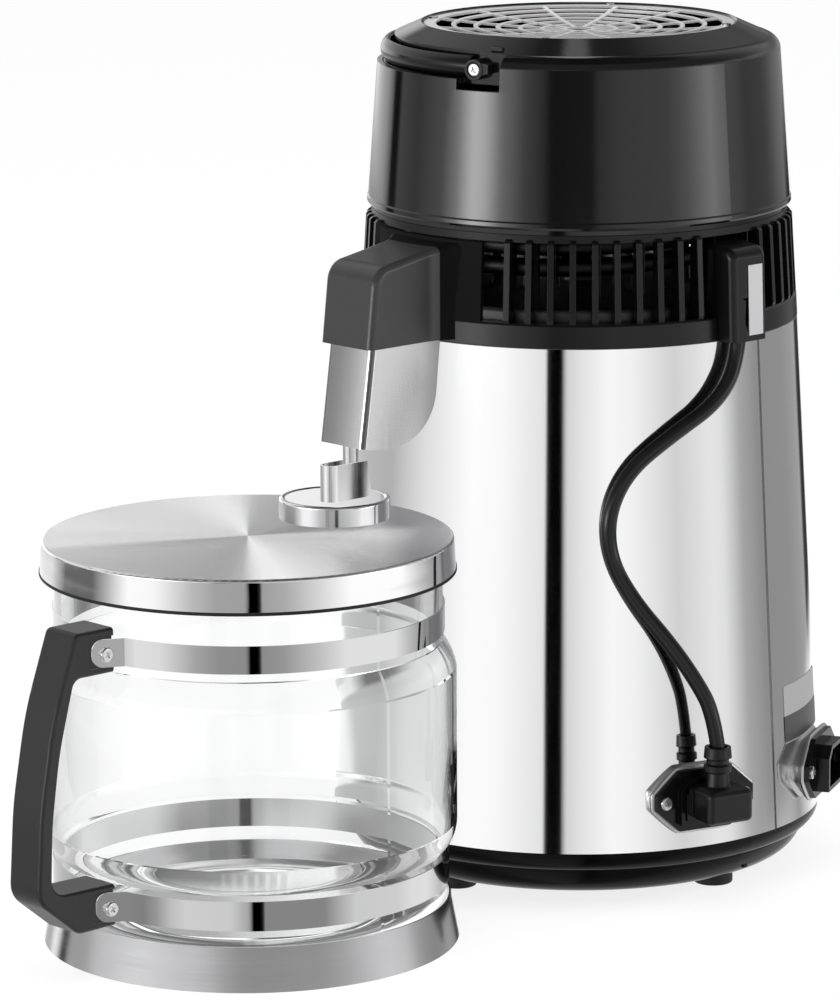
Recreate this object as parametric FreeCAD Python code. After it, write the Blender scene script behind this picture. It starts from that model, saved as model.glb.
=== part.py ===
import FreeCAD, Part
import math
import os

# A counter-top water distiller: a boiler with a fan-cooled condenser head, and a glass carafe
# under its spout.  Millimetres, +Z up.  The boiler stands on the Z axis while it is built and the
# carafe stands in front of it, towards -Y; at the end everything is moved so that the origin
# lies under the middle of the footprint, on the counter.

# ---------------------------------------------------------------- fits and sheet
MOVING_GAP = 0.3           # between pieces of two bodies that pass each other
SEAT_GAP = 0.1             # between rigid pieces of one body that are not face to face
RUNNING_FIT = 0.05         # radial play of a pin or shaft in its hole
SHEET = 0.8                # stainless sheet of shell, pot, lid, straps and nozzle
MOULDING = 2.4             # wall of the black mouldings
SEAM_ANGLE = 8.5     # degrees, where the shell's rolled sheet meets

# ---------------------------------------------------------------- base
FOOT_RADIUS = 8.8
FOOT_HEIGHT = 6.6
FOOT_EDGE_INSET = 9.5      # foot centre inside the bottom cover's edge
FOOT_COUNT = 4
FOOT_FIRST_ANGLE = 3.6
SCREW_RADIUS = 2.0
SCREW_HEAD_RADIUS = 4.2
SCREW_HEAD_HEIGHT = 2.2
SCREW_HEAD_RECESS = 0.9    # how far a foot's screw head stays above the counter
BASE_RIM_INSET = 0.6       # the ring's three tiers, inside the shell's lower edge
BASE_STEP_INSET = 7.5
BASE_BOTTOM_INSET = 16.4
BASE_STEP_HEIGHT = 11.0    # above the ring's lower edge
BASE_RING_HEIGHT = 21.1
BASE_SPIGOT_HEIGHT = 4.0
BOSS_RADIUS = 6.0
BOSS_HEIGHT = 13.0
COVER_INSET = 3.0          # cover's edge inside the ring's lower edge
COVER_THICKNESS = 1.5
COVER_SLOT_INNER = 24.0
COVER_SLOT_OUTER = 46.0
COVER_SLOT_WIDTH = 3.0

# ---------------------------------------------------------------- boiler
SHELL_BOTTOM_RADIUS = 110.4
SHELL_TOP_RADIUS = 98.4
SHELL_HEIGHT = 223.1
SHELL_FLANGE = 6.0
POT_RADIUS = 90.2
POT_DEPTH = 188.8
POT_CORNER = 8.0
POT_FLANGE = 5.0
HEATER_RADIUS = 62.0
HEATER_THICKNESS = 10.0
HEATER_HOLE_RADIUS = 10.0
HEATER_COIL_RADIUS = 48.0
HEATER_COIL_TUBE = 4.0
HEATER_TERMINAL = 12.0
CUTOUT_RADIUS = 8.0
CUTOUT_HEIGHT = 11.0
CUTOUT_OFFSET = 26.0
TIE_BOLT_RADIUS = 3.0
TIE_BOLT_HEAD_RADIUS = 5.0
TIE_BOLT_HEAD_HEIGHT = 3.4

# ---------------------------------------------------------------- mains connectors on the shell
CONNECTOR_HEIGHT = 50.3    # centre above the counter
FAN_SOCKET_ANGLE = -14.9
FAN_SOCKET_STANDOFF = 1.8  # shell to the face that the flange lies on
INLET_ANGLE = 28.2
INLET_STANDOFF = 4.4
FLANGE_LENGTH = 49.0
FLANGE_HEIGHT = 27.4
FLANGE_THICKNESS = 2.2
FLANGE_TIP = 7.0           # height of the blunt ends
FLANGE_FLAT = 26.0         # length of the level edges
FLANGE_SCREW_SPACING = 40.0
FLANGE_SCREW_RADIUS = 1.6
FLANGE_SCREW_HEAD = 3.0
SEAT_MARGIN = 1.8
SEAT_STEP = 4.2            # depth of the seat's front tier
SEAT_STEP_INSET = 0.7
BARREL_WIDTH = 28.0        # the part of a connector that goes through the shell
BARREL_HEIGHT = 21.0
BARREL_DEPTH = 20.0
RECESS_WIDTH = 23.6
RECESS_HEIGHT = 16.6
RECESS_DEPTH = 16.5
RECESS_CHAMFER = 4.5
COLLAR_PROUD = 3.0
INLET_SHROUD_PROUD = 6.5
PIN_WIDTH = 2.0
PIN_HEIGHT = 4.0
PIN_SPACING = 7.0
PIN_SETBACK = 5.0

# ---------------------------------------------------------------- push button
BUTTON_ANGLE = 158.0
BUTTON_RADIUS = 6.0
BUTTON_PROUD = 4.2
BUTTON_LENGTH = 10.0
BUTTON_BEZEL_RADIUS = 9.6
BUTTON_BEZEL_PROUD = 1.5

# ---------------------------------------------------------------- head: tank lid and vent band
SEAL_THICKNESS = 1.7
SEAL_LIP_DEPTH = 4.0
SEAL_LIP_WIDTH = 2.5
TANK_LID_HEIGHT = 12.6
TANK_LID_RADIUS = 89.4
STEAM_PORT_RADIUS = 10.0
STEAM_PORT_HEIGHT = 7.2
BAND_RING_HEIGHT = 10.3
BAND_TAPER = 0.5
BAND_WALL = 2.2
BAND_LEDGE = 3.7
SLAT_COUNT = 62
SLAT_PHASE = 0.34          # degrees, one slat's place
SLAT_WIDTH = 2.7
SLAT_TOP_HEIGHT = 46.2     # above the band's lower edge
SLAT_TOP_RADIUS = 95.7
SLAT_INNER_RADIUS = 90.5
TOP_RING_RADIUS = 93.2
TOP_RING_INNER = 86.5
TOP_RING_HEIGHT = 3.4
POST_FIRST_ANGLE = -58.0
POST_COUNT = 4
POST_LENGTH = 28.0
POST_WIDTH = 4.6
POST_DEPTH = 4.6

# ---------------------------------------------------------------- head: condenser
COIL_RADIUS = 66.0
COIL_TUBE = 4.0
COIL_PITCH = 9.2
COIL_HALF_TURNS = 9
COIL_LIFT = 9.5            # tube centre above the tank lid
FIN_COUNT = 24
FIN_THICKNESS = 0.6
FIN_WIDTH = 20.0
FIN_MARGIN = 2.4

# ---------------------------------------------------------------- head: fan shroud, cap and guard
SHROUD_LIP_HEIGHT = 51.5   # above the band's lower edge
SHROUD_LIP_RADIUS = 95.3
SHROUD_HEIGHT = 68.8
SHROUD_TOP_RADIUS = 89.9
SHROUD_NECK_HEIGHT = 2.8
CAP_SLOPE_RADIUS = 84.5
CAP_SLOPE_DROP = 6.2
CAP_RISE = 11.6            # cap's highest edge above the shroud
CAP_SKIRT_DEPTH = 8.2
CAP_SKIRT_INNER = 80.0
GUARD_RADIUS = 69.4
GUARD_THICKNESS = 1.0
GUARD_FLANGE = 4.9
GUARD_DISH = 3.0
GUARD_RINGS = 6
GUARD_RING_FIRST = 6.6
GUARD_RING_PITCH = 9.9
GUARD_STRIP = 2.0
GUARD_SPOKES = 12
GUARD_SCREWS = 4
GUARD_SCREW_FIRST = 33.0
GUARD_SCREW_HEAD = 2.0
GUARD_SEAT = 4.8           # how far the cap's seat reaches under the guard

# ---------------------------------------------------------------- head: fan
MOTOR_RADIUS = 22.0
MOTOR_HEIGHT = 25.0
MOTOR_SHAFT_RADIUS = 2.5
MOTOR_SHAFT_LENGTH = 15.0
MOTOR_BELOW_GUARD = 31.0
BRACKET_THICKNESS = 2.0
BRACKET_ARM_WIDTH = 10.0
BRACKET_ARMS = 4
BRACKET_TAB = 12.0
ROTOR_HUB_RADIUS = 14.0
ROTOR_HEIGHT = 17.0
ROTOR_RADIUS = 58.0
ROTOR_BLADES = 7
BLADE_THICKNESS = 1.4
BLADE_ROOT_CHORD = 17.0
BLADE_TIP_CHORD = 31.0
BLADE_ROOT_PITCH = 42.0
BLADE_TIP_PITCH = 24.0

# ---------------------------------------------------------------- carrying handle
PIVOT_ANGLE = 284.4        # first pivot; the second is opposite
PIVOT_DROP = 13.0          # below the cap's highest edge
HANDLE_RADIUS = 88.8
HANDLE_THICKNESS = 4.6
HANDLE_DEPTH = 9.6
HANDLE_BULGE = 2.4         # how far the bar's outer face bows out
HANDLE_ROUND = 1.2
EYE_RADIUS = 4.6
TAIL_LENGTH = 7.2
POCKET_WIDTH = 13.6        # from the pivot, on the tail's side
POCKET_DROP = 8.8          # below the pivot
PIVOT_SCREW_RADIUS = 2.0
PIVOT_SCREW_HEAD = 3.0
PIVOT_SCREW_HEAD_HEIGHT = 1.6
HANDLE_REST_GAP = 0.4

# ---------------------------------------------------------------- spout
SPOUT_HALF_WIDTH = 16.5
SPOUT_REACH = 142.3        # boiler axis to the lower front edge
SPOUT_BOTTOM = 1.5         # above the band's lower edge
SPOUT_TOP = 43.2
SPOUT_WALL_SIDE = 2.0
SPOUT_WALL_FRONT = 2.9
SPOUT_ROOT_HALF_WIDTH = 34.0
SPOUT_ROOT_WALL = 7.0
SPOUT_FLARE_START = 108.0
SPOUT_FLARE_END = 90.0
SPOUT_BROW_RADIUS = 9.5
SPOUT_FRAME_ANGLE = 19.7
SPOUT_EDGE_ROUND = 3.0
NOZZLE_HALF_WIDTH = 14.1
NOZZLE_TOP_IN_SPOUT = 11.4
NOZZLE_DROP = 45.4         # spout's lower edge to the nozzle's lowest point
NOZZLE_FRONT_LEAN = 6.2
NOZZLE_CORNER_ROUND = 2.4
PIPE_REACH = 139.5         # boiler axis to the outlet pipe
PIPE_RADIUS = 3.4
PIPE_WALL = 0.8
PIPE_END_CLEARANCE = 6.0   # above the cup that it drips into

# ---------------------------------------------------------------- cable cover and fan lead
CABLE_COVER_WIDTH = 21.5
CABLE_COVER_PROUD = 9.0
CABLE_COVER_HEIGHT = 43.0
CABLE_COVER_ROUND = 3.0
CABLE_COVER_LEAN = 1.2
CABLE_COVER_BROW = 6.5     # height of its rounded top
CORD_DIAMETER = 6.8
CORD_PLAY = 0.9            # radial, where the cord enters a moulding on the slant
CORD_BORE_DEPTH = 19.0
CORD_EXIT_REACH = 102.9    # boiler axis to the cord where it leaves the cable cover
CORD_EXIT_SIDE = -2.6
PLUG_LENGTH = 25.0         # socket's face to the plug's end face
PLUG_WIDTH = 22.5
PLUG_HEIGHT = 15.0
PLUG_NECK_WIDTH = 20.6
PLUG_NECK_HEIGHT = 13.2
PLUG_BLOCK_LENGTH = 15.5
PLUG_ROUND = 2.6
RELIEF_SETBACK = 12.5      # plug's end face to the middle of its strain relief
RELIEF_TOP = 76.0
RELIEF_RADIUS = 6.2
RELIEF_WAIST = 4.9
PLUG_FIT = 0.4

# ---------------------------------------------------------------- carafe
CARAFE_GAP = 0.35          # to the boiler's shell at the closest point
GLASS_FOOT_RADIUS = 85.2
GLASS_BULGE_RADIUS = 89.6
GLASS_NECK_RADIUS = 83.7
GLASS_WALL = 3.0
GLASS_FLOOR = 5.0
GLASS_PUNT = 6.0
BULGE_BOTTOM = 45.0
BULGE_TOP = 126.5
BULGE_BLEND = 7.0
SKIRT_BOTTOM_RADIUS = 90.3
SKIRT_TOP_RADIUS = 86.7
SKIRT_HEIGHT = 18.9
SKIRT_FLOOR_HEIGHT = 2.2
LOWER_STRAP_BOTTOM = 25.7
LOWER_STRAP_HEIGHT = 12.8
UPPER_STRAP_BOTTOM = 136.2
UPPER_STRAP_HEIGHT = 12.0
STRAP_FOLD = 16.2          # half the opening in a strap, behind the handle
TAB_REACH = 95.6
TAB_ROUND = 5.0
GRIP_HALF_WIDTH = 10.2
GRIP_REACH = 126.2         # carafe axis to the outside of the grip
GRIP_THICKNESS = 7.5
GRIP_BOW = 150.0           # radius of the gentle bends in the grip
GRIP_EDGE_ROUND = 1.6
ARM_RECESS = 1.2           # depth of the bed of each strap tab
ARM_TOP = 152.0
ARM_HEIGHT = 19.3
LOWER_ARM_BOTTOM = 22.4
LOWER_ARM_HEIGHT = 18.6
HANDLE_SCREW_REACH = 91.3
HANDLE_SCREW_RADIUS = 1.9
HANDLE_SCREW_HEAD = 3.2
HANDLE_SCREW_HEAD_HEIGHT = 1.7

# ---------------------------------------------------------------- carafe lid
LID_HEIGHT = 177.2
LID_RADIUS = 88.75
LID_FLARE = 0.75
LID_SKIRT = 13.6
LID_CORNER = 1.2
GASKET_HEIGHT = 1.5
GASKET_RADIUS = 89.9
CUP_RADIUS = 24.35
CUP_HEIGHT = 9.0
CUP_SIDE_OFFSET = -4.0
CUP_BEYOND_PIPE = 6.0      # cup's centre in front of the pipe
CUP_DISH = 0.6
LID_HOLE_RADIUS = 20.0
DRIP_HOLE_RADIUS = 3.0
GUIDE_HALF_WIDTH = 4.6
GUIDE_HEIGHT = 16.0
GUIDE_FRONT = 16.3         # guide's bend in front of the pipe's axis
GUIDE_BACK = 8.4           # guide's open end behind the pipe's axis
GUIDE_LEAN = 2.8


def V(x, y, z):
    return FreeCAD.Vector(x, y, z)


AXIS = V(0, 0, 1)
ORIGIN = V(0, 0, 0)


# ---------------------------------------------------------------- drawing helpers
def closed_wire(steps, place):
    """Closed wire through 2D steps; a step ("arc", middle, end) is reached by an arc."""
    edges = []
    here = steps[0]
    for step in steps[1:] + [steps[0]]:
        if step[0] == "arc":
            edges.append(Part.Arc(place(*here), place(*step[1]), place(*step[2])).toShape())
            here = step[2]
        elif step != here:
            edges.append(Part.makeLine(place(*here), place(*step)))
            here = step
    return Part.Wire(edges)


def lathe(steps, angle=360.0, start=0.0):
    """Solid of revolution about Z from (radius, height) steps, over a sector if asked."""
    face = Part.Face(closed_wire(steps, lambda r, z: V(r, 0, z)))
    solid = face.revolve(ORIGIN, AXIS, angle)
    solid.rotate(ORIGIN, AXIS, start)
    return solid


def ring(inner, outer, low, high):
    tube = Part.makeCylinder(outer, high - low, V(0, 0, low))
    return tube.cut(Part.makeCylinder(inner, high - low, V(0, 0, low)))


def plan_slab(steps, low, high):
    """Plan outline in (x, y), raised from low to high."""
    face = Part.Face(closed_wire(steps, lambda x, y: V(x, y, low)))
    return face.extrude(V(0, 0, high - low))


def side_slab(steps, half_width):
    """Side outline in (reach towards -Y, height), as thick as two half widths along X."""
    face = Part.Face(closed_wire(steps, lambda reach, z: V(-half_width, -reach, z)))
    return face.extrude(V(2 * half_width, 0, 0))


def face_slab(steps, low, high):
    """Outline in (sideways, height) on a face that looks along +X, from low to high along X."""
    face = Part.Face(closed_wire(steps, lambda y, z: V(low, y, z)))
    return face.extrude(V(high - low, 0, 0))


def block(x0, x1, y0, y1, z0, z1):
    return Part.makeBox(x1 - x0, y1 - y0, z1 - z0, V(x0, y0, z0))


def rod(start, end, radius):
    run = end - start
    return Part.makeCylinder(radius, run.Length, start, run)


def turned(shape, angle):
    copy = shape.copy()
    copy.rotate(ORIGIN, AXIS, angle)
    return copy


def moved(shape, x, y, z):
    copy = shape.copy()
    copy.translate(V(x, y, z))
    return copy


def round_edges(shape, radius, wanted):
    return shape.makeFillet(radius, [edge for edge in shape.Edges if wanted(edge)])


def fused(first, *others):
    return first.fuse(list(others)).removeSplitter()


def angles(count, first=0.0):
    return [first + 360.0 * i / count for i in range(count)]


def between(low, high, share):
    return low + (high - low) * share


# ---------------------------------------------------------------- radii and heights that stack up
base_rim_radius = SHELL_BOTTOM_RADIUS - BASE_RIM_INSET
base_step_radius = SHELL_BOTTOM_RADIUS - BASE_STEP_INSET
base_bottom_radius = SHELL_BOTTOM_RADIUS - BASE_BOTTOM_INSET
cover_radius = base_bottom_radius - COVER_INSET
foot_ring_radius = cover_radius - FOOT_EDGE_INSET
base_bottom = FOOT_HEIGHT
shell_bottom = base_bottom + BASE_RING_HEIGHT
shell_top = shell_bottom + SHELL_HEIGHT
pot_bottom = shell_top - POT_DEPTH
pot_rim = shell_top + SHEET
band_bottom = shell_top + MOVING_GAP
seal_bottom = pot_rim + MOVING_GAP
lid_flange_bottom = seal_bottom + SEAL_THICKNESS
lid_flange_top = lid_flange_bottom + SHEET
tank_lid_top = lid_flange_top + TANK_LID_HEIGHT
band_ring_top = band_bottom + BAND_RING_HEIGHT
slat_top = band_bottom + SLAT_TOP_HEIGHT
top_ring_top = slat_top + (SHROUD_LIP_HEIGHT - SLAT_TOP_HEIGHT - SHROUD_NECK_HEIGHT)
shroud_bottom = band_bottom + SHROUD_LIP_HEIGHT
shroud_top = shroud_bottom + SHROUD_HEIGHT
cap_top = shroud_top + CAP_RISE
pivot_height = cap_top - PIVOT_DROP
guard_seat = cap_top - 2 * GUARD_THICKNESS
motor_top = guard_seat - MOTOR_BELOW_GUARD
coil_bottom = tank_lid_top + COIL_LIFT
coil_top = coil_bottom + COIL_PITCH * COIL_HALF_TURNS / 2
spout_bottom = band_bottom + SPOUT_BOTTOM
spout_top = band_bottom + SPOUT_TOP
cup_top = LID_HEIGHT + CUP_HEIGHT
cup_plate = cup_top - CUP_DISH
glass_rim = LID_HEIGHT - SHEET - MOVING_GAP
lid_skirt_bottom = LID_HEIGHT - LID_SKIRT


def shell_radius(z):
    return between(SHELL_BOTTOM_RADIUS, SHELL_TOP_RADIUS, (z - shell_bottom) / SHELL_HEIGHT)


def shroud_radius(z):
    return between(SHROUD_LIP_RADIUS, SHROUD_TOP_RADIUS, (z - shroud_bottom) / SHROUD_HEIGHT)


fan_socket_face = shell_radius(CONNECTOR_HEIGHT) + FAN_SOCKET_STANDOFF
inlet_face = shell_radius(CONNECTOR_HEIGHT) + INLET_STANDOFF
plug_front = fan_socket_face + PLUG_LENGTH
relief_reach = plug_front - RELIEF_SETBACK
carafe_distance = shell_radius(BULGE_BOTTOM) + GLASS_BULGE_RADIUS + CARAFE_GAP


# ---------------------------------------------------------------- base
def make_feet():
    foot = lathe([
        (SCREW_RADIUS + SEAT_GAP, SCREW_HEAD_RECESS + SCREW_HEAD_HEIGHT),
        (SCREW_HEAD_RADIUS + SEAT_GAP, SCREW_HEAD_RECESS + SCREW_HEAD_HEIGHT),
        (SCREW_HEAD_RADIUS + SEAT_GAP, 0),
        (FOOT_RADIUS - 1.0, 0),
        ("arc", (FOOT_RADIUS - 0.3, 0.3), (FOOT_RADIUS, 1.0)),
        (FOOT_RADIUS, FOOT_HEIGHT),
        (SCREW_RADIUS + SEAT_GAP, FOOT_HEIGHT),
    ])
    placed = moved(foot, foot_ring_radius, 0, 0)
    return Part.makeCompound([turned(placed, a) for a in angles(FOOT_COUNT, FOOT_FIRST_ANGLE)])


def make_base_screws():
    head = Part.makeCylinder(SCREW_HEAD_RADIUS, SCREW_HEAD_HEIGHT, V(0, 0, SCREW_HEAD_RECESS))
    cross = block(-2.4, 2.4, -0.5, 0.5, 0, SCREW_HEAD_RECESS + 1.2)
    head = head.cut(cross).cut(turned(cross, 90))
    start = SCREW_HEAD_RECESS + SCREW_HEAD_HEIGHT
    shank_end = base_bottom + COVER_THICKNESS + BOSS_HEIGHT - 2.0
    screw = fused(head, rod(V(0, 0, start - 0.4), V(0, 0, shank_end), SCREW_RADIUS))
    placed = moved(screw, foot_ring_radius, 0, 0)
    return Part.makeCompound([turned(placed, a) for a in angles(FOOT_COUNT, FOOT_FIRST_ANGLE)])


def make_base_ring():
    """Two rounded tiers outside, a spigot inside the shell and a boss over each foot."""
    step = base_bottom + BASE_STEP_HEIGHT
    opening = cover_radius + SEAT_GAP
    spigot = shell_radius(shell_bottom + BASE_SPIGOT_HEIGHT) - SHEET - SEAT_GAP
    body = lathe([
        (base_bottom_radius, base_bottom),
        ("arc", (between(base_bottom_radius, base_step_radius, 0.64), base_bottom + 4.0),
         (base_step_radius, step - 0.4)),
        (base_step_radius, step + 0.6),
        ("arc", (between(base_step_radius, base_rim_radius, 0.7), step + 3.0),
         (base_rim_radius, step + 7.6)),
        (base_rim_radius, shell_bottom),
        (spigot, shell_bottom),
        (spigot, shell_bottom + BASE_SPIGOT_HEIGHT),
        (spigot - MOULDING, shell_bottom + BASE_SPIGOT_HEIGHT),
        (spigot - MOULDING, shell_bottom - 2.0),
        (base_step_radius - MOULDING, step + 1.0),
        (base_step_radius - MOULDING - 1.5, step - 5.0),
        (base_bottom_radius - 1.0, base_bottom + MOULDING),
        (opening, base_bottom + MOULDING),
        (opening, base_bottom),
    ])
    boss_bottom = base_bottom + COVER_THICKNESS
    boss = Part.makeCylinder(BOSS_RADIUS, BOSS_HEIGHT, V(foot_ring_radius, 0, boss_bottom))
    web = block(foot_ring_radius, base_step_radius - MOULDING, -MOULDING / 2, MOULDING / 2,
                base_bottom + MOULDING + 1.0, boss_bottom + BOSS_HEIGHT)
    hole = Part.makeCylinder(SCREW_RADIUS + RUNNING_FIT, BOSS_HEIGHT - 1.5,
                             V(foot_ring_radius, 0, boss_bottom))
    places = angles(FOOT_COUNT, FOOT_FIRST_ANGLE)
    body = body.fuse([turned(boss, a) for a in places] + [turned(web, a) for a in places])
    return body.cut([turned(hole, a) for a in places]).removeSplitter()


def make_bottom_cover():
    plate = Part.makeCylinder(cover_radius, COVER_THICKNESS, V(0, 0, base_bottom))
    holes = [Part.makeCylinder(TIE_BOLT_RADIUS + SEAT_GAP, COVER_THICKNESS, V(0, 0, base_bottom))]
    screw_hole = Part.makeCylinder(SCREW_RADIUS + SEAT_GAP, COVER_THICKNESS,
                                   V(foot_ring_radius, 0, base_bottom))
    holes += [turned(screw_hole, a) for a in angles(FOOT_COUNT, FOOT_FIRST_ANGLE)]
    slot = block(COVER_SLOT_INNER, COVER_SLOT_OUTER, -COVER_SLOT_WIDTH / 2, COVER_SLOT_WIDTH / 2,
                 base_bottom, base_bottom + COVER_THICKNESS)
    holes += [turned(slot, a) for a in angles(12, 15.0)]
    return plate.cut(holes)


# ---------------------------------------------------------------- boiler
def make_shell_body():
    """Everything inside the shell's outer surface, used to seat what lies on it."""
    return lathe([(0, shell_bottom), (SHELL_BOTTOM_RADIUS, shell_bottom),
                  (SHELL_TOP_RADIUS, shell_top), (0, shell_top)])


def connector_hole():
    wide, tall = BARREL_WIDTH / 2 + SEAT_GAP, BARREL_HEIGHT / 2 + SEAT_GAP
    return block(SHELL_TOP_RADIUS, inlet_face + 5.0, -wide, wide,
                 CONNECTOR_HEIGHT - tall, CONNECTOR_HEIGHT + tall)


def make_outer_shell():
    """Rolled tapered sheet with a turned-in top and a lock seam down its side."""
    body = lathe([
        (SHELL_BOTTOM_RADIUS, shell_bottom),
        (SHELL_TOP_RADIUS, shell_top),
        (SHELL_TOP_RADIUS - SHELL_FLANGE, shell_top),
        (SHELL_TOP_RADIUS - SHELL_FLANGE, shell_top - SHEET),
        (SHELL_TOP_RADIUS - SHEET, shell_top - SHEET),
        (SHELL_BOTTOM_RADIUS - SHEET, shell_bottom),
    ])
    depth = SHEET * 0.45
    seam = lathe([
        (SHELL_BOTTOM_RADIUS - depth, shell_bottom - 1.0),
        (SHELL_TOP_RADIUS - depth, shell_top - 2.0),
        (SHELL_TOP_RADIUS + 2.0, shell_top - 2.0),
        (SHELL_BOTTOM_RADIUS + 2.0, shell_bottom - 1.0),
    ], angle=0.3, start=SEAM_ANGLE)
    button_hole = rod(V(SHELL_TOP_RADIUS, 0, CONNECTOR_HEIGHT),
                      V(SHELL_BOTTOM_RADIUS + 5.0, 0, CONNECTOR_HEIGHT),
                      BUTTON_RADIUS + MOVING_GAP + 1.6)
    return body.cut([seam, turned(connector_hole(), FAN_SOCKET_ANGLE),
                     turned(connector_hole(), INLET_ANGLE), turned(button_hole, BUTTON_ANGLE)])


def make_boiler_pot():
    inner = POT_RADIUS - SHEET
    corner = POT_CORNER
    bend = corner * (1 - math.sqrt(0.5))
    return lathe([
        (0, pot_bottom),
        (POT_RADIUS - corner, pot_bottom),
        ("arc", (POT_RADIUS - bend, pot_bottom + bend), (POT_RADIUS, pot_bottom + corner)),
        (POT_RADIUS, shell_top),
        (POT_RADIUS + POT_FLANGE, shell_top),
        (POT_RADIUS + POT_FLANGE, pot_rim),
        (inner, pot_rim),
        (inner, pot_bottom + corner),
        ("arc", (inner - (corner - SHEET) * (1 - math.sqrt(0.5)),
                 pot_bottom + SHEET + (corner - SHEET) * (1 - math.sqrt(0.5))),
         (POT_RADIUS - corner, pot_bottom + SHEET)),
        (0, pot_bottom + SHEET),
    ])


def make_heater_plate():
    low = pot_bottom - HEATER_THICKNESS
    plate = lathe([
        (HEATER_HOLE_RADIUS, low),
        (HEATER_RADIUS - 2.0, low),
        (HEATER_RADIUS, low + 2.0),
        (HEATER_RADIUS, pot_bottom),
        (HEATER_HOLE_RADIUS, pot_bottom),
    ])
    element = Part.makeTorus(HEATER_COIL_RADIUS, HEATER_COIL_TUBE, V(0, 0, low))
    terminal = rod(V(HEATER_COIL_RADIUS, 0, low - HEATER_TERMINAL), V(HEATER_COIL_RADIUS, 0, low),
                   HEATER_COIL_TUBE * 0.8)
    ends = [turned(terminal, a) for a in (140.0, 160.0)]
    return fused(plate, element, *ends)


def make_thermal_cutout():
    top = pot_bottom - HEATER_THICKNESS
    body = Part.makeCylinder(CUTOUT_RADIUS, CUTOUT_HEIGHT, V(CUTOUT_OFFSET, 0, top - CUTOUT_HEIGHT))
    tabs = [block(CUTOUT_OFFSET - 3.2, CUTOUT_OFFSET + 3.2, y - 0.4, y + 0.4,
                  top - CUTOUT_HEIGHT - 7.0, top - CUTOUT_HEIGHT + 1.0) for y in (-4.0, 4.0)]
    return fused(body, *tabs)


def make_tie_bolt():
    """Stud that draws the bottom cover, ring and shell up against the pot."""
    head = Part.makeCylinder(TIE_BOLT_HEAD_RADIUS, TIE_BOLT_HEAD_HEIGHT,
                             V(0, 0, base_bottom - TIE_BOLT_HEAD_HEIGHT))
    hexagon = plan_slab([(TIE_BOLT_HEAD_RADIUS * math.cos(math.radians(a)),
                          TIE_BOLT_HEAD_RADIUS * math.sin(math.radians(a)))
                         for a in angles(6)],
                        base_bottom - TIE_BOLT_HEAD_HEIGHT, base_bottom)
    stud = rod(V(0, 0, base_bottom - 1.0), V(0, 0, pot_bottom), TIE_BOLT_RADIUS)
    return fused(head.common(hexagon), stud)


# ---------------------------------------------------------------- mains connectors
def flange_outline(margin=0.0):
    """Long hexagon with blunt ends, in (sideways, height)."""
    half = FLANGE_LENGTH / 2 + margin
    flat = FLANGE_FLAT / 2 + margin * 0.4
    tall = FLANGE_HEIGHT / 2 + margin
    tip = FLANGE_TIP / 2 + margin * 0.4
    mid = CONNECTOR_HEIGHT
    return [(half, mid - tip), (half, mid + tip), (flat, mid + tall), (-flat, mid + tall),
            (-half, mid + tip), (-half, mid - tip), (-flat, mid - tall), (flat, mid - tall)]


def recess_outline(grow=0.0):
    """A connector's opening: a rectangle with two corners cut off."""
    wide = RECESS_WIDTH / 2 + grow
    tall = RECESS_HEIGHT / 2 + grow
    cut = RECESS_CHAMFER + grow * 0.4
    mid = CONNECTOR_HEIGHT
    return [(wide, mid - tall), (wide, mid + tall - cut), (wide - cut, mid + tall),
            (cut - wide, mid + tall), (-wide, mid + tall - cut), (-wide, mid - tall)]


def screw_points():
    return [(-FLANGE_SCREW_SPACING / 2), (FLANGE_SCREW_SPACING / 2)]


def make_seat(face, angle, shell_body):
    """Flat steel seat in two tiers that stands on the tapered shell and carries a flange."""
    seat = face_slab(flange_outline(SEAT_MARGIN - SEAT_STEP_INSET), SHELL_TOP_RADIUS, face)
    seat = seat.fuse(face_slab(flange_outline(SEAT_MARGIN), face - SEAT_STEP, face))
    wide, tall = BARREL_WIDTH / 2 + SEAT_GAP, BARREL_HEIGHT / 2 + SEAT_GAP
    barrel = block(SHELL_TOP_RADIUS - 1.0, face + 1.0, -wide, wide,
                   CONNECTOR_HEIGHT - tall, CONNECTOR_HEIGHT + tall)
    holes = [rod(V(SHELL_TOP_RADIUS, y, CONNECTOR_HEIGHT), V(face, y, CONNECTOR_HEIGHT),
                 FLANGE_SCREW_RADIUS + SEAT_GAP) for y in screw_points()]
    seat = seat.cut([barrel] + holes)
    return turned(seat, angle).cut(shell_body)


def connector_body(face, proud):
    """Flange, the barrel behind it and a collar of the given height before it."""
    flange = face_slab(flange_outline(), face, face + FLANGE_THICKNESS)
    mid = CONNECTOR_HEIGHT
    barrel = block(face - BARREL_DEPTH, face + 0.5, -BARREL_WIDTH / 2, BARREL_WIDTH / 2,
                   mid - BARREL_HEIGHT / 2, mid + BARREL_HEIGHT / 2)
    front = face + FLANGE_THICKNESS + proud
    collar = face_slab(recess_outline(2.0), face, front)
    body = fused(flange, barrel, collar)
    recess = face_slab(recess_outline(), front - proud - RECESS_DEPTH, front)
    holes = [rod(V(face - 1.0, y, mid), V(front, y, mid), FLANGE_SCREW_RADIUS + SEAT_GAP)
             for y in screw_points()]
    return body.cut([recess] + holes)


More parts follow.
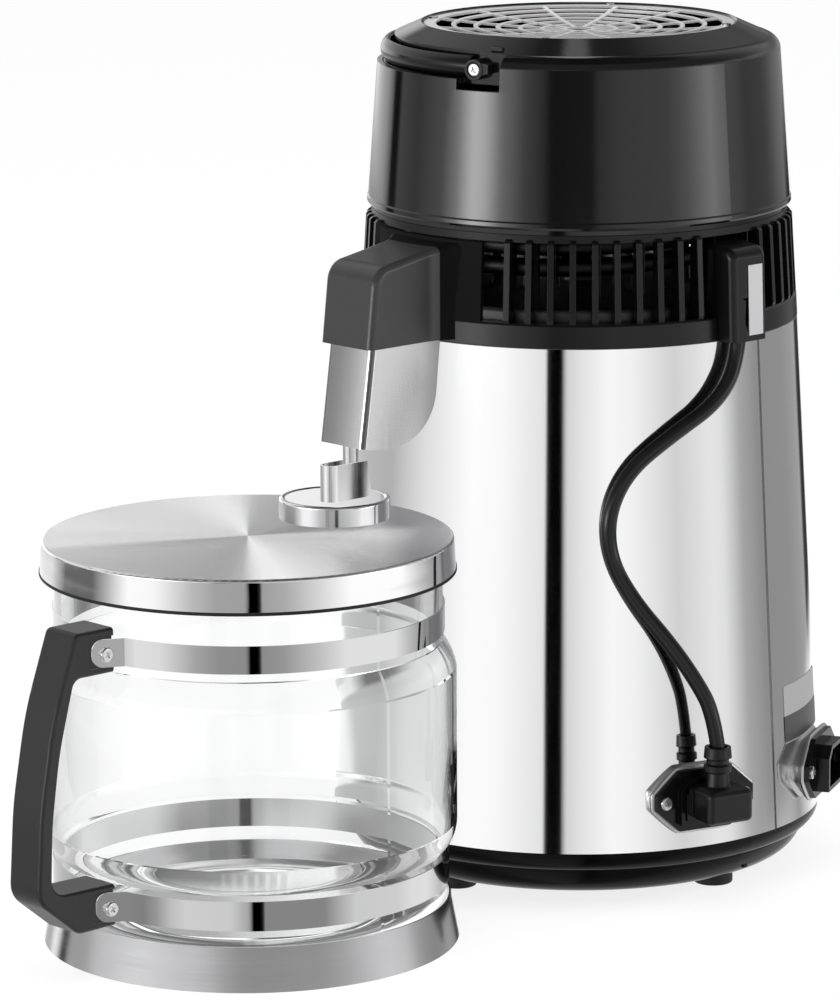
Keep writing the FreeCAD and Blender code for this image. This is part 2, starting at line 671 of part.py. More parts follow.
def make_connector_screws(face, angle):
    screws = []
    surface = face + FLANGE_THICKNESS
    for y in screw_points():
        shank = rod(V(face - 3.0, y, CONNECTOR_HEIGHT), V(surface + 0.3, y, CONNECTOR_HEIGHT),
                    FLANGE_SCREW_RADIUS)
        head = rod(V(surface, y, CONNECTOR_HEIGHT), V(surface + 1.4, y, CONNECTOR_HEIGHT),
                   FLANGE_SCREW_HEAD)
        rim = [edge for edge in head.Edges if edge.Curve.TypeId == "Part::GeomCircle"
               and edge.BoundBox.XMin > surface + 1.0]
        screws.append(fused(head.makeFillet(0.8, rim), shank))
    return turned(Part.makeCompound(screws), angle)


def make_inlet_pins():
    back = inlet_face + FLANGE_THICKNESS - RECESS_DEPTH
    tip = inlet_face + FLANGE_THICKNESS + INLET_SHROUD_PROUD - PIN_SETBACK
    pins = []
    for y, z in ((-PIN_SPACING, -1.8), (PIN_SPACING, -1.8), (0, 2.2)):
        mid = CONNECTOR_HEIGHT + z
        pin = block(back, tip, y - PIN_WIDTH / 2, y + PIN_WIDTH / 2,
                    mid - PIN_HEIGHT / 2, mid + PIN_HEIGHT / 2)
        pins.append(round_edges(pin, 0.7, lambda edge: edge.BoundBox.XMin > tip - 0.01))
    return turned(Part.makeCompound(pins), INLET_ANGLE)


# ---------------------------------------------------------------- push button
def make_button_bezel(shell_body):
    surface = shell_radius(CONNECTOR_HEIGHT)
    mid = CONNECTOR_HEIGHT
    hole = BUTTON_RADIUS + MOVING_GAP
    flange = rod(V(surface - 3.0, 0, mid), V(surface + BUTTON_BEZEL_PROUD, 0, mid),
                 BUTTON_BEZEL_RADIUS)
    front = [edge for edge in flange.Edges if edge.BoundBox.XMin > surface + 1.0]
    flange = turned(flange.makeFillet(0.8, front), BUTTON_ANGLE).cut(shell_body)
    sleeve = turned(rod(V(surface - 12.0, 0, mid), V(surface + 0.5, 0, mid), hole + 1.4),
                    BUTTON_ANGLE)
    bore = turned(rod(V(surface - 13.0, 0, mid), V(surface + 5.0, 0, mid), hole), BUTTON_ANGLE)
    return fused(flange, sleeve).cut(bore)


def make_start_button():
    surface = shell_radius(CONNECTOR_HEIGHT)
    mid = CONNECTOR_HEIGHT
    front = surface + BUTTON_PROUD
    stem = rod(V(front - BUTTON_LENGTH, 0, mid), V(front, 0, mid), BUTTON_RADIUS)
    rim = [edge for edge in stem.Edges if edge.BoundBox.XMin > front - 0.1]
    return turned(stem.makeFillet(1.2, rim), BUTTON_ANGLE)


# ---------------------------------------------------------------- head: lid and vents
def make_lid_seal():
    outer = POT_RADIUS + POT_FLANGE - SEAT_GAP
    lip_outer = POT_RADIUS - SHEET - MOVING_GAP - SEAT_GAP
    lip_inner = lip_outer - SEAL_LIP_WIDTH
    return lathe([
        (outer, seal_bottom),
        (outer, lid_flange_bottom),
        (lip_inner, lid_flange_bottom),
        (lip_inner, seal_bottom - SEAL_LIP_DEPTH),
        (lip_outer - 0.8, seal_bottom - SEAL_LIP_DEPTH),
        (lip_outer, seal_bottom - SEAL_LIP_DEPTH + 1.2),
        (lip_outer, seal_bottom),
    ])


def make_tank_lid():
    """Inverted dish that closes the pot; steam leaves through the collar in its middle."""
    outer = TANK_LID_RADIUS
    flange = POT_RADIUS + POT_FLANGE + SEAT_GAP
    port = STEAM_PORT_RADIUS
    return lathe([
        (outer - SHEET, lid_flange_bottom),
        (flange, lid_flange_bottom),
        (flange, lid_flange_top),
        (outer, lid_flange_top),
        (outer, tank_lid_top - 2.0),
        ("arc", (outer - 0.6, tank_lid_top - 0.6), (outer - 2.0, tank_lid_top)),
        (port + SHEET, tank_lid_top),
        (port + SHEET, tank_lid_top + STEAM_PORT_HEIGHT),
        (port, tank_lid_top + STEAM_PORT_HEIGHT),
        (port, tank_lid_top - SHEET),
        (outer - 2.3, tank_lid_top - SHEET),
        ("arc", (outer - 1.2, tank_lid_top - 1.2), (outer - SHEET, tank_lid_top - 2.3)),
    ])


def band_radius(z):
    """Outside of the slats, from the lower ring up to their tops."""
    low = SHELL_TOP_RADIUS - BAND_TAPER
    return between(low, SLAT_TOP_RADIUS, (z - band_ring_top) / (slat_top - band_ring_top))


def slat_angles():
    """Slats stand all round, except behind the spout and behind the cable cover."""
    cover_half = math.degrees(math.asin(CABLE_COVER_WIDTH / 2 / SHELL_TOP_RADIUS)) + 2.0
    kept = []
    for a in angles(SLAT_COUNT, SLAT_PHASE):
        from_cover = abs((a + 180.0) % 360.0 - 180.0)
        from_spout = abs(a - 270.0)
        if from_cover > cover_half and from_spout > SPOUT_FRAME_ANGLE + 1.0:
            kept.append(a)
    return kept


def make_vent_band():
    """Lower ring, upper ring and the slats between them, with four posts inside."""
    outer = SHELL_TOP_RADIUS
    low = outer - BAND_TAPER
    inner = outer - BAND_WALL
    lower = lathe([
        (outer, band_bottom),
        (low, band_ring_top - 0.8),
        (low - 0.7, band_ring_top),
        (inner - BAND_LEDGE, band_ring_top),
        (inner - BAND_LEDGE, lid_flange_top),
        (inner, lid_flange_top),
        (inner, band_bottom),
    ])
    upper = ring(TOP_RING_INNER, TOP_RING_RADIUS, top_ring_top - TOP_RING_HEIGHT, top_ring_top)
    half = SLAT_WIDTH / 2
    outline = [
        (SLAT_INNER_RADIUS, band_ring_top - 1.0),
        (low - 1.2, band_ring_top - 1.0),
        (low - 0.2, band_ring_top + 1.2),
        (SLAT_TOP_RADIUS, slat_top - 1.0),
        (SLAT_TOP_RADIUS - 1.0, slat_top),
        (TOP_RING_RADIUS - 0.6, slat_top + 0.6),
        (SLAT_INNER_RADIUS, slat_top + 0.6),
    ]
    face = Part.Face(closed_wire(outline, lambda r, z: V(r, -half, z)))
    slat = face.extrude(V(0, SLAT_WIDTH, 0))
    post_top = top_ring_top - 0.5
    post_inner = TOP_RING_INNER - POST_DEPTH
    post_face = Part.Face(closed_wire([
        (TOP_RING_INNER + 1.0, post_top),
        (post_inner, post_top),
        (post_inner + 1.2, post_top - POST_LENGTH),
        (TOP_RING_INNER - 0.6, post_top - POST_LENGTH),
    ], lambda r, z: V(r, -POST_WIDTH / 2, z)))
    post = post_face.extrude(V(0, POST_WIDTH, 0))
    pieces = [turned(slat, a) for a in slat_angles()]
    pieces += [turned(post, a) for a in angles(POST_COUNT, POST_FIRST_ANGLE)]
    return lower.fuse([upper] + pieces)


# ---------------------------------------------------------------- head: condenser
def make_condenser_coil():
    """Turns of tube, each half turn a tilted half ring, with the steam riser and the drain."""
    rise = COIL_PITCH / 2
    span = 2 * COIL_RADIUS
    tilt = math.degrees(math.atan2(rise, span))
    radius = math.hypot(rise, span) / 2
    halves = []
    for i in range(COIL_HALF_TURNS):
        half = Part.makeTorus(radius, COIL_TUBE, ORIGIN, AXIS, 0, 360, 180)
        half.rotate(ORIGIN, V(0, 1, 0), tilt)
        half.rotate(ORIGIN, AXIS, 90.0 + 180.0 * i)
        half.translate(V(0, 0, coil_bottom + rise * (i + 0.5)))
        halves.append(half)
    drain_end = nozzle_rear_reach + 12.0
    drain = rod(V(0, -COIL_RADIUS, coil_bottom), V(0, -drain_end, coil_bottom), COIL_TUBE)
    tip = rod(V(0, -drain_end + COIL_TUBE, coil_bottom),
              V(0, -drain_end + COIL_TUBE, coil_bottom - 13.0), COIL_TUBE)
    end = COIL_RADIUS if COIL_HALF_TURNS % 2 else -COIL_RADIUS
    socket = STEAM_PORT_RADIUS + SHEET + SEAT_GAP
    socket_top = tank_lid_top + STEAM_PORT_HEIGHT + SEAT_GAP
    riser = lathe([
        (socket, tank_lid_top + 1.0), (socket + 1.2, tank_lid_top + 1.0),
        (socket + 1.2, socket_top + 1.2), (COIL_TUBE + 1.5, socket_top + 4.0),
        (COIL_TUBE + 1.5, coil_top + COIL_TUBE), (0, coil_top + COIL_TUBE),
        (0, socket_top), (socket, socket_top),
    ])
    crossing = rod(ORIGIN + V(0, 0, coil_top), V(0, end, coil_top), COIL_TUBE)
    return fused(halves[0], *(halves[1:] + [drain, tip, riser, crossing]))


def make_condenser_fins():
    """Upright plates round the coil; every turn runs through one long slot in each."""
    slot_half = COIL_TUBE + SEAT_GAP * 2
    low = coil_bottom - COIL_TUBE - FIN_MARGIN
    high = coil_top + COIL_TUBE + FIN_MARGIN
    inner = COIL_RADIUS - FIN_WIDTH / 2
    plate = block(inner, inner + FIN_WIDTH, -FIN_THICKNESS / 2, FIN_THICKNESS / 2, low, high)
    slot_low = coil_bottom - COIL_TUBE - SEAT_GAP * 2
    slot_high = coil_top + COIL_TUBE + SEAT_GAP * 2
    slot = block(COIL_RADIUS - slot_half, COIL_RADIUS + slot_half, -FIN_THICKNESS, FIN_THICKNESS,
                 slot_low, slot_high)
    fin = plate.cut(slot)
    clear = math.degrees(math.asin((COIL_TUBE + 1.0) / inner))
    kept = []
    for a in angles(FIN_COUNT, 180.0 / FIN_COUNT):
        if abs(a - 90.0) > clear and abs(a - 270.0) > clear:
            kept.append(turned(fin, a))
    return Part.makeCompound(kept)


# ---------------------------------------------------------------- head: shroud and cap
def pivot_frame(shape):
    """Turns a piece made at a pivot on +X (handle towards -Y side) to the first pivot."""
    return turned(shape, PIVOT_ANGLE)


pocket_floor = HANDLE_RADIUS - HANDLE_THICKNESS - HANDLE_REST_GAP
recess_floor = pivot_height + 1.0 - HANDLE_DEPTH / 2 - HANDLE_REST_GAP


def handle_recess():
    """Room for the lying handle: half a ring, and a pocket at each pivot."""
    wall = pocket_floor - 1.4
    half = lathe([(wall, recess_floor), (SHROUD_LIP_RADIUS + 5.0, recess_floor),
                  (SHROUD_LIP_RADIUS + 5.0, cap_top + 5.0), (wall, cap_top + 5.0)],
                 angle=180.0, start=PIVOT_ANGLE + 180.0)
    bottom = pivot_height - POCKET_DROP
    pocket = block(pocket_floor, SHROUD_LIP_RADIUS + 5.0, -EYE_RADIUS - 3.4, POCKET_WIDTH,
                   bottom, cap_top + 5.0)
    opposite = block(pocket_floor, SHROUD_LIP_RADIUS + 5.0, -POCKET_WIDTH, EYE_RADIUS + 3.4,
                     bottom, cap_top + 5.0)
    return [half, turned(pocket, PIVOT_ANGLE), turned(opposite, PIVOT_ANGLE + 180.0)]


def pivot_holes(radius, inner, outer):
    hole = rod(V(inner, 0, pivot_height), V(outer, 0, pivot_height), radius)
    return [turned(hole, PIVOT_ANGLE), turned(hole, PIVOT_ANGLE + 180.0)]


def make_fan_shroud():
    """Tapered wall whose lower edge steps in to a neck that stands on the vent band."""
    neck = TOP_RING_RADIUS - 0.4
    body = lathe([
        (neck - MOULDING, top_ring_top),
        (neck, top_ring_top),
        (neck, shroud_bottom - 0.6),
        (SHROUD_LIP_RADIUS - 0.5, shroud_bottom - 0.3),
        (SHROUD_LIP_RADIUS, shroud_bottom + 0.6),
        (SHROUD_LIP_RADIUS - 0.15, shroud_bottom + 2.4),
        (SHROUD_LIP_RADIUS - 0.6, shroud_bottom + 3.0),
        (SHROUD_TOP_RADIUS, shroud_top),
        (SHROUD_TOP_RADIUS - MOULDING, shroud_top),
        (SHROUD_LIP_RADIUS - 0.6 - MOULDING, shroud_bottom + 3.0),
        (neck - MOULDING, shroud_bottom + 1.0),
    ])
    return body.cut(handle_recess())


def make_shoulder_cap():
    """Sloped shoulder round the fan's mouth, with the seat of the guard inside it."""
    skirt = SHROUD_TOP_RADIUS - MOULDING - SEAT_GAP
    mouth = GUARD_RADIUS - GUARD_SEAT
    slope_end = cap_top - CAP_SLOPE_DROP
    bend_r = SHROUD_TOP_RADIUS - CAP_SLOPE_RADIUS
    bend_z = slope_end - shroud_top
    body = lathe([
        (GUARD_RADIUS + SEAT_GAP, guard_seat),
        (GUARD_RADIUS + SEAT_GAP, cap_top - 0.4),
        (GUARD_RADIUS + 1.2, cap_top),
        (CAP_SLOPE_RADIUS, slope_end),
        ("arc", (CAP_SLOPE_RADIUS + bend_r * 0.68, shroud_top + bend_z * 0.64),
         (SHROUD_TOP_RADIUS, shroud_top)),
        (skirt, shroud_top),
        (skirt, shroud_top - CAP_SKIRT_DEPTH),
        (CAP_SKIRT_INNER, shroud_top - CAP_SKIRT_DEPTH),
        (CAP_SKIRT_INNER, slope_end - MOULDING),
        (GUARD_RADIUS + 1.2, guard_seat - MOULDING),
        (mouth, guard_seat - MOULDING),
        (mouth, guard_seat),
    ])
    pip = block(0, 2.2, -2.8, 2.8, slope_end - 1.0, cap_top - 3.4)
    pip = moved(pip, CAP_SLOPE_RADIUS - 5.0, 0, 0)
    pips = [turned(pip, PIVOT_ANGLE + side + 5.0) for side in (0.0, 180.0)]
    screw_hole = Part.makeCylinder(1.2 + RUNNING_FIT, 4.0,
                                   V(GUARD_RADIUS - GUARD_FLANGE / 2, 0, guard_seat - 4.0))
    holes = [turned(screw_hole, a) for a in angles(GUARD_SCREWS, GUARD_SCREW_FIRST)]
    holes += pivot_holes(PIVOT_SCREW_RADIUS + RUNNING_FIT, CAP_SKIRT_INNER - 1.0, pocket_floor + 1.0)
    return body.fuse(pips).cut(handle_recess() + holes)


def make_fan_guard():
    """Dished disc stamped into rings and spokes, inside a flat screwed flange."""
    top = guard_seat + GUARD_THICKNESS
    flange_inner = GUARD_RADIUS - GUARD_FLANGE
    sag = GUARD_DISH
    sphere = (flange_inner ** 2 + sag ** 2) / (2 * sag)
    half = flange_inner / 2
    half_sag = sphere - math.sqrt(sphere ** 2 - half ** 2)
    dish = lathe([
        (0, top - sag),
        ("arc", (half, top - sag + half_sag), (flange_inner, top)),
        (GUARD_RADIUS, top),
        (GUARD_RADIUS, guard_seat),
        (flange_inner, guard_seat),
        ("arc", (half, guard_seat - sag + half_sag), (0, guard_seat - sag)),
    ])
    low = guard_seat - sag - 2.0
    high = top + 2.0
    strips = [ring(flange_inner - 0.5, GUARD_RADIUS, low, high)]
    for i in range(GUARD_RINGS):
        middle = GUARD_RING_FIRST + GUARD_RING_PITCH * i
        strips.append(ring(middle - GUARD_STRIP / 2, middle + GUARD_STRIP / 2, low, high))
    spoke = block(GUARD_RING_FIRST, GUARD_RADIUS - 1.0, -GUARD_STRIP / 2, GUARD_STRIP / 2,
                  low, high)
    strips += [turned(spoke, a) for a in angles(GUARD_SPOKES)]
    pattern = strips[0].fuse(strips[1:])
    hole = Part.makeCylinder(1.2 + SEAT_GAP, 10.0,
                             V(GUARD_RADIUS - GUARD_FLANGE / 2, 0, low))
    holes = [turned(hole, a) for a in angles(GUARD_SCREWS, GUARD_SCREW_FIRST)]
    return dish.common(pattern).cut(holes)


def make_guard_screws():
    top = guard_seat + GUARD_THICKNESS
    at = V(GUARD_RADIUS - GUARD_FLANGE / 2, 0, 0)
    head = Part.makeCylinder(GUARD_SCREW_HEAD, 0.9, at + V(0, 0, top))
    shank = Part.makeCylinder(1.2, 4.2, at + V(0, 0, top - 4.0))
    screw = fused(head, shank)
    return Part.makeCompound([turned(screw, a) for a in angles(GUARD_SCREWS, GUARD_SCREW_FIRST)])


# ---------------------------------------------------------------- head: fan
def make_fan_motor():
    low = motor_top - MOTOR_HEIGHT
    body = lathe([
        (0, low), (MOTOR_RADIUS - 3.0, low), (MOTOR_RADIUS, low + 3.0),
        (MOTOR_RADIUS, motor_top - 3.0), (MOTOR_RADIUS - 4.0, motor_top), (6.0, motor_top),
        (6.0, motor_top + 1.5), (MOTOR_SHAFT_RADIUS, motor_top + 1.5),
        (MOTOR_SHAFT_RADIUS, motor_top + MOTOR_SHAFT_LENGTH),
        (0, motor_top + MOTOR_SHAFT_LENGTH),
    ])
    return body


def make_motor_bracket():
    """Spider under the motor whose turned-up tabs reach the shroud's wall."""
    top = motor_top - MOTOR_HEIGHT
    low = top - BRACKET_THICKNESS
    reach = shroud_radius(low + BRACKET_TAB) - MOULDING - MOVING_GAP - 0.3
    disc = Part.makeCylinder(MOTOR_RADIUS + 4.0, BRACKET_THICKNESS, V(0, 0, low))
    half = BRACKET_ARM_WIDTH / 2
    arm = block(MOTOR_RADIUS, reach, -half, half, low, top)
    tab = block(reach - BRACKET_THICKNESS, reach, -half, half, low, low + BRACKET_TAB)
    places = angles(BRACKET_ARMS, 360.0 / BRACKET_ARMS / 2)
    return fused(disc, *([turned(arm, a) for a in places] + [turned(tab, a) for a in places]))


def blade_section(reach, chord, pitch, middle):
    """Closed wire of one blade at a distance from the shaft."""
    run = V(0, math.cos(math.radians(pitch)), math.sin(math.radians(pitch)))
    lift = V(0, -run.z, run.y)
    corners = []
    for along, across in ((-0.5, -0.5), (0.5, -0.5), (0.5, 0.5), (-0.5, 0.5)):
        corners.append(V(reach, 0, middle) + run * (along * chord)
                       + lift * (across * BLADE_THICKNESS))
    return Part.makePolygon(corners + [corners[0]])


def make_fan_rotor():
    low = motor_top + 2.5
    middle = low + ROTOR_HEIGHT / 2
    hub = lathe([
        (MOTOR_SHAFT_RADIUS + RUNNING_FIT, low),
        (ROTOR_HUB_RADIUS, low),
        (ROTOR_HUB_RADIUS, low + ROTOR_HEIGHT - 3.0),
        ("arc", (ROTOR_HUB_RADIUS - 0.9, low + ROTOR_HEIGHT - 0.9),
         (ROTOR_HUB_RADIUS - 3.0, low + ROTOR_HEIGHT)),
        (0, low + ROTOR_HEIGHT),
        (0, motor_top + MOTOR_SHAFT_LENGTH + MOVING_GAP),
        (MOTOR_SHAFT_RADIUS + RUNNING_FIT, motor_top + MOTOR_SHAFT_LENGTH + MOVING_GAP),
    ])
    blade = Part.makeLoft([
        blade_section(ROTOR_HUB_RADIUS - 3.0, BLADE_ROOT_CHORD, BLADE_ROOT_PITCH, middle),
        blade_section(ROTOR_RADIUS, BLADE_TIP_CHORD, BLADE_TIP_PITCH, middle),
    ], True, True)
    return hub.fuse([turned(blade, a) for a in angles(ROTOR_BLADES)])


# ---------------------------------------------------------------- carrying handle
def make_carry_handle():
    """Half ring with a flat eye at each end and a short tail beyond each pivot."""
    low = recess_floor + HANDLE_REST_GAP
    high = low + HANDLE_DEPTH
    inner = HANDLE_RADIUS - HANDLE_THICKNESS
    soft = HANDLE_ROUND
    bow = soft * (1 - math.sqrt(0.5))
    start = math.degrees(math.asin(EYE_RADIUS / 2 / HANDLE_RADIUS))
    bar = lathe([
        (inner, low), (HANDLE_RADIUS - HANDLE_BULGE, low),
        ("arc", (HANDLE_RADIUS, (low + high) / 2), (HANDLE_RADIUS - HANDLE_BULGE, high)),
        (inner + soft, high),
        ("arc", (inner + bow, high - bow), (inner, high - soft)),
    ], angle=180.0 - 2 * start, start=PIVOT_ANGLE + 180.0 + start)
    ends = []
    for side, angle in ((-1.0, PIVOT_ANGLE), (1.0, PIVOT_ANGLE + 180.0)):
        eye = rod(V(inner, 0, pivot_height), V(HANDLE_RADIUS, 0, pivot_height), EYE_RADIUS)
        tail_end = -side * TAIL_LENGTH
        tail_outline = [(0, pivot_height - 3.2), (0, pivot_height + 3.6),
                        (tail_end, pivot_height + 2.6), (tail_end, pivot_height - 1.4)]
        tail = face_slab(tail_outline, inner, HANDLE_RADIUS - 0.4)
        ends += [turned(part, angle) for part in (eye, tail)]
    body = fused(bar, *ends)
    bores = pivot_holes(PIVOT_SCREW_RADIUS + RUNNING_FIT, inner - 1.0, HANDLE_RADIUS + 1.0)
    sinks = pivot_holes(PIVOT_SCREW_HEAD + MOVING_GAP,
                        HANDLE_RADIUS - PIVOT_SCREW_HEAD_HEIGHT - MOVING_GAP, HANDLE_RADIUS + 1.0)
    return body.cut(bores + sinks)


def make_pivot_screws():
    head_back = HANDLE_RADIUS - PIVOT_SCREW_HEAD_HEIGHT
    shank = rod(V(CAP_SKIRT_INNER + 0.4, 0, pivot_height), V(head_back + 0.2, 0, pivot_height),
                PIVOT_SCREW_RADIUS)
    head = rod(V(head_back, 0, pivot_height), V(HANDLE_RADIUS, 0, pivot_height),
               PIVOT_SCREW_HEAD)
    rim = [edge for edge in head.Edges if edge.BoundBox.XMin > HANDLE_RADIUS - 0.1]
    screw = fused(head.makeFillet(0.7, rim), shank)
    return Part.makeCompound([turned(screw, PIVOT_ANGLE), turned(screw, PIVOT_ANGLE + 180.0)])


# ---------------------------------------------------------------- spout
nozzle_bottom = spout_bottom - NOZZLE_DROP
nozzle_rear_reach = SHELL_TOP_RADIUS + MOVING_GAP
nozzle_front_top = SPOUT_REACH - SPOUT_WALL_FRONT - SEAT_GAP * 3


def softened(corners):
    """Steps through (u, v, radius) corners, each rounded by an arc tangent to its sides."""
    steps = []
    count = len(corners)
    for i, (u, v, radius) in enumerate(corners):
        if not radius:
            steps.append((u, v))
            continue
        here = V(u, v, 0)
        back = (V(corners[i - 1][0], corners[i - 1][1], 0) - here).normalize()
        ahead = (V(corners[(i + 1) % count][0], corners[(i + 1) % count][1], 0) - here).normalize()
        half = back.getAngle(ahead) / 2
        trim = radius / math.tan(half)
        bisector = (back + ahead).normalize()
        middle = here + bisector * (radius / math.sin(half) - radius)
        first = here + back * trim
        last = here + ahead * trim
        steps += [(first.x, first.y), ("arc", (middle.x, middle.y), (last.x, last.y))]
    return steps


def spout_side(inset_front, inset_top, low):
    """Side outline of the spout: front face, rounded brow and a gentle climb to the shroud."""
    front = SPOUT_REACH - inset_front
    top = spout_top - inset_top
    back = SLAT_INNER_RADIUS - 12.0
    brow_reach = front - 4.1
    brow = top - 6.9
    climb = (top - brow) / (brow_reach - SHELL_TOP_RADIUS)
    return softened([(back, low, 0), (front, low, 0), (brow_reach, brow, SPOUT_BROW_RADIUS),
                     (back, brow + climb * (brow_reach - back), 0)])


def spout_plan(inset, root_inset):
    """Plan of the spout: straight sides whose roots flare out in a quarter round."""
    half = SPOUT_HALF_WIDTH - inset
    root = SPOUT_ROOT_HALF_WIDTH - root_inset
    run = SPOUT_FLARE_START - SPOUT_FLARE_END
    rise = root - half
    curve = (rise ** 2 + run ** 2) / (2 * rise)
    sweep = math.atan2(run, curve - rise) / 2
    middle = (half + curve * (1 - math.cos(sweep)), -SPOUT_FLARE_START + curve * math.sin(sweep))
    end = -SPOUT_FLARE_END
    front = -(SPOUT_REACH + 5.0)
    back = -(SLAT_INNER_RADIUS - 12.0)
    return [
        (half, front), (half, -SPOUT_FLARE_START), ("arc", middle, (root, end)), (root, back),
        (-root, back), (-root, end),
        ("arc", (-middle[0], middle[1]), (-half, -SPOUT_FLARE_START)), (-half, front),
    ]


def make_spout_housing():
    """Hollow moulding over the nozzle, with a curved frame where it meets the vents."""
    outer = side_slab(spout_side(0, 0, spout_bottom), SPOUT_ROOT_HALF_WIDTH + 5.0)
    outer = outer.common(plan_slab(spout_plan(0, 0), spout_bottom, spout_top + 8.0))

    def is_ridge(edge):
        box = edge.BoundBox
        side = min(abs(box.XMin), abs(box.XMax))
        far = max(abs(box.XMin), abs(box.XMax))
        if side < SPOUT_HALF_WIDTH - 0.1 or side > SPOUT_ROOT_HALF_WIDTH - 1.0:
            return False
        front_corner = -box.YMin > SPOUT_REACH - 0.1 and box.ZLength > 1.0
        return front_corner or (box.ZMin > spout_bottom + 20.0 and far < SPOUT_ROOT_HALF_WIDTH + 1.0)

    outer = round_edges(outer, SPOUT_EDGE_ROUND, is_ridge)
    front = side_slab(spout_side(SPOUT_WALL_FRONT, MOULDING, spout_bottom),
                      SPOUT_ROOT_HALF_WIDTH + 5.0)
    hollow = front.common(plan_slab(spout_plan(SPOUT_WALL_SIDE, SPOUT_ROOT_WALL), spout_bottom,
                                    spout_top + 8.0))
    frame_low = band_ring_top + 0.2
    frame_high = slat_top - 1.0
    frame = lathe([
        (band_radius(frame_low) + 0.9, frame_low),
        (band_radius(frame_high) + 0.9, frame_high),
        (band_radius(frame_high) - 1.6, frame_high),
        (band_radius(frame_low) - 1.6, frame_low),
    ], angle=2 * SPOUT_FRAME_ANGLE, start=270.0 - SPOUT_FRAME_ANGLE)
    body = outer.cut([
        Part.makeCylinder(band_radius(frame_low) - 1.6, SPOUT_TOP + 20.0, V(0, 0, frame_low)),
        Part.makeCylinder(SHELL_TOP_RADIUS + SEAT_GAP, BAND_RING_HEIGHT + 10.0,
                          V(0, 0, frame_low - BAND_RING_HEIGHT - 10.0)),
    ])
    return body.fuse(frame).cut(hollow).removeSplitter()


def nozzle_side(inset, top):
    """Side outline of the nozzle: leaning front, rounded heel against the shell."""
    rear = nozzle_rear_reach + inset
    front = nozzle_front_top - inset
    low = nozzle_bottom + inset
    toe = front + NOZZLE_FRONT_LEAN
    return [
        (rear, top), (rear + 0.2, spout_bottom), (rear + 2.6, low + 22.6),
        ("arc", (rear + 8.9, low + 8.6), (rear + 23.4, low + 1.1)),
        (rear + 33.6, low), (toe, low + 2.1), (front, spout_bottom),
        (front - 1.3, top),
    ]


def make_nozzle_cup():
    """Folded steel nozzle: flat cheeks, rounded front corners, open inside the spout."""
    top = spout_bottom + NOZZLE_TOP_IN_SPOUT

    def is_front_corner(edge):
        box = edge.BoundBox
        reach = -box.YMax
        return box.XLength < 0.01 and box.ZLength > 8.0 and reach > SPOUT_REACH - 12.0

    outer = side_slab(nozzle_side(0, top), NOZZLE_HALF_WIDTH)
    outer = round_edges(outer, NOZZLE_CORNER_ROUND, is_front_corner)
    inner = side_slab(nozzle_side(SHEET, top + 1.0), NOZZLE_HALF_WIDTH - SHEET)
    inner = round_edges(inner, NOZZLE_CORNER_ROUND - SHEET, is_front_corner)
    hole = Part.makeCylinder(PIPE_RADIUS + SEAT_GAP / 2, 20.0, V(0, -PIPE_REACH, nozzle_bottom - 9.0))
    return outer.cut([inner, hole])


def make_outlet_pipe():
    low = cup_plate + PIPE_END_CLEARANCE
    high = nozzle_bottom + 7.0
    pipe = ring(PIPE_RADIUS - PIPE_WALL, PIPE_RADIUS, low, high)
    return moved(pipe, 0, -PIPE_REACH, 0)


# ---------------------------------------------------------------- cable cover and fan lead
def make_cable_cover():
    """Block on the vent band that leads the fan's cable down and out."""
    half = CABLE_COVER_WIDTH / 2
    low = band_bottom - 0.2
    high = low + CABLE_COVER_HEIGHT
    front = SHELL_TOP_RADIUS + CABLE_COVER_PROUD
    brow_reach = front - CABLE_COVER_LEAN
    brow = CABLE_COVER_BROW
    face = Part.Face(closed_wire([
        (SLAT_INNER_RADIUS, low), (front, low), (brow_reach, high - brow),
        ("arc", (brow_reach - brow * 0.22, high - brow * 0.52),
         (brow_reach - brow * 0.74, high - brow * 0.25)),
        (SLAT_TOP_RADIUS - 4.0, high), (SLAT_INNER_RADIUS, high),
    ], lambda reach, z: V(reach, -half, z)))
    body = face.extrude(V(0, 2 * half, 0))

    def is_long_corner(edge):
        box = edge.BoundBox
        return box.YLength < 0.01 and box.XMin > brow_reach - brow and box.ZLength > 2.0

    body = round_edges(body, CABLE_COVER_ROUND, is_long_corner)
    behind = SHELL_TOP_RADIUS + SEAT_GAP
    body = body.cut(ring(0.1, behind, low - 1.0, band_ring_top + SEAT_GAP))
    body = body.cut(ring(0.1, SLAT_INNER_RADIUS + 1.0, band_ring_top - 5.0, high + 5.0))
    bore = Part.makeCylinder(CORD_DIAMETER / 2 + CORD_PLAY, CORD_BORE_DEPTH + 0.2,
                             V(CORD_EXIT_REACH, CORD_EXIT_SIDE, low))
    return body.cut(bore)


relief = turned(Part.Vertex(relief_reach, 0, RELIEF_TOP), FAN_SOCKET_ANGLE).Point
CORD_ROUTE = [
    (CORD_EXIT_REACH, CORD_EXIT_SIDE, band_bottom + CORD_BORE_DEPTH - 1.0),
    (CORD_EXIT_REACH + 0.2, CORD_EXIT_SIDE, band_bottom - 3.9),
    (104.7, -14.8, 227.0),
    (97.0, -41.6, 211.6),
    (88.9, -57.5, 198.1),
    (85.0, -65.8, 180.0),
    (85.8, -65.4, 159.8),
    (93.6, -58.2, 141.0),
    (104.0, -46.8, 122.6),
    (112.0, -38.7, 106.2),
    (relief.x - 1.6, relief.y - 1.4, RELIEF_TOP + 15.2),
    (relief.x + 0.15, relief.y + 0.25, RELIEF_TOP - 2.8),
]


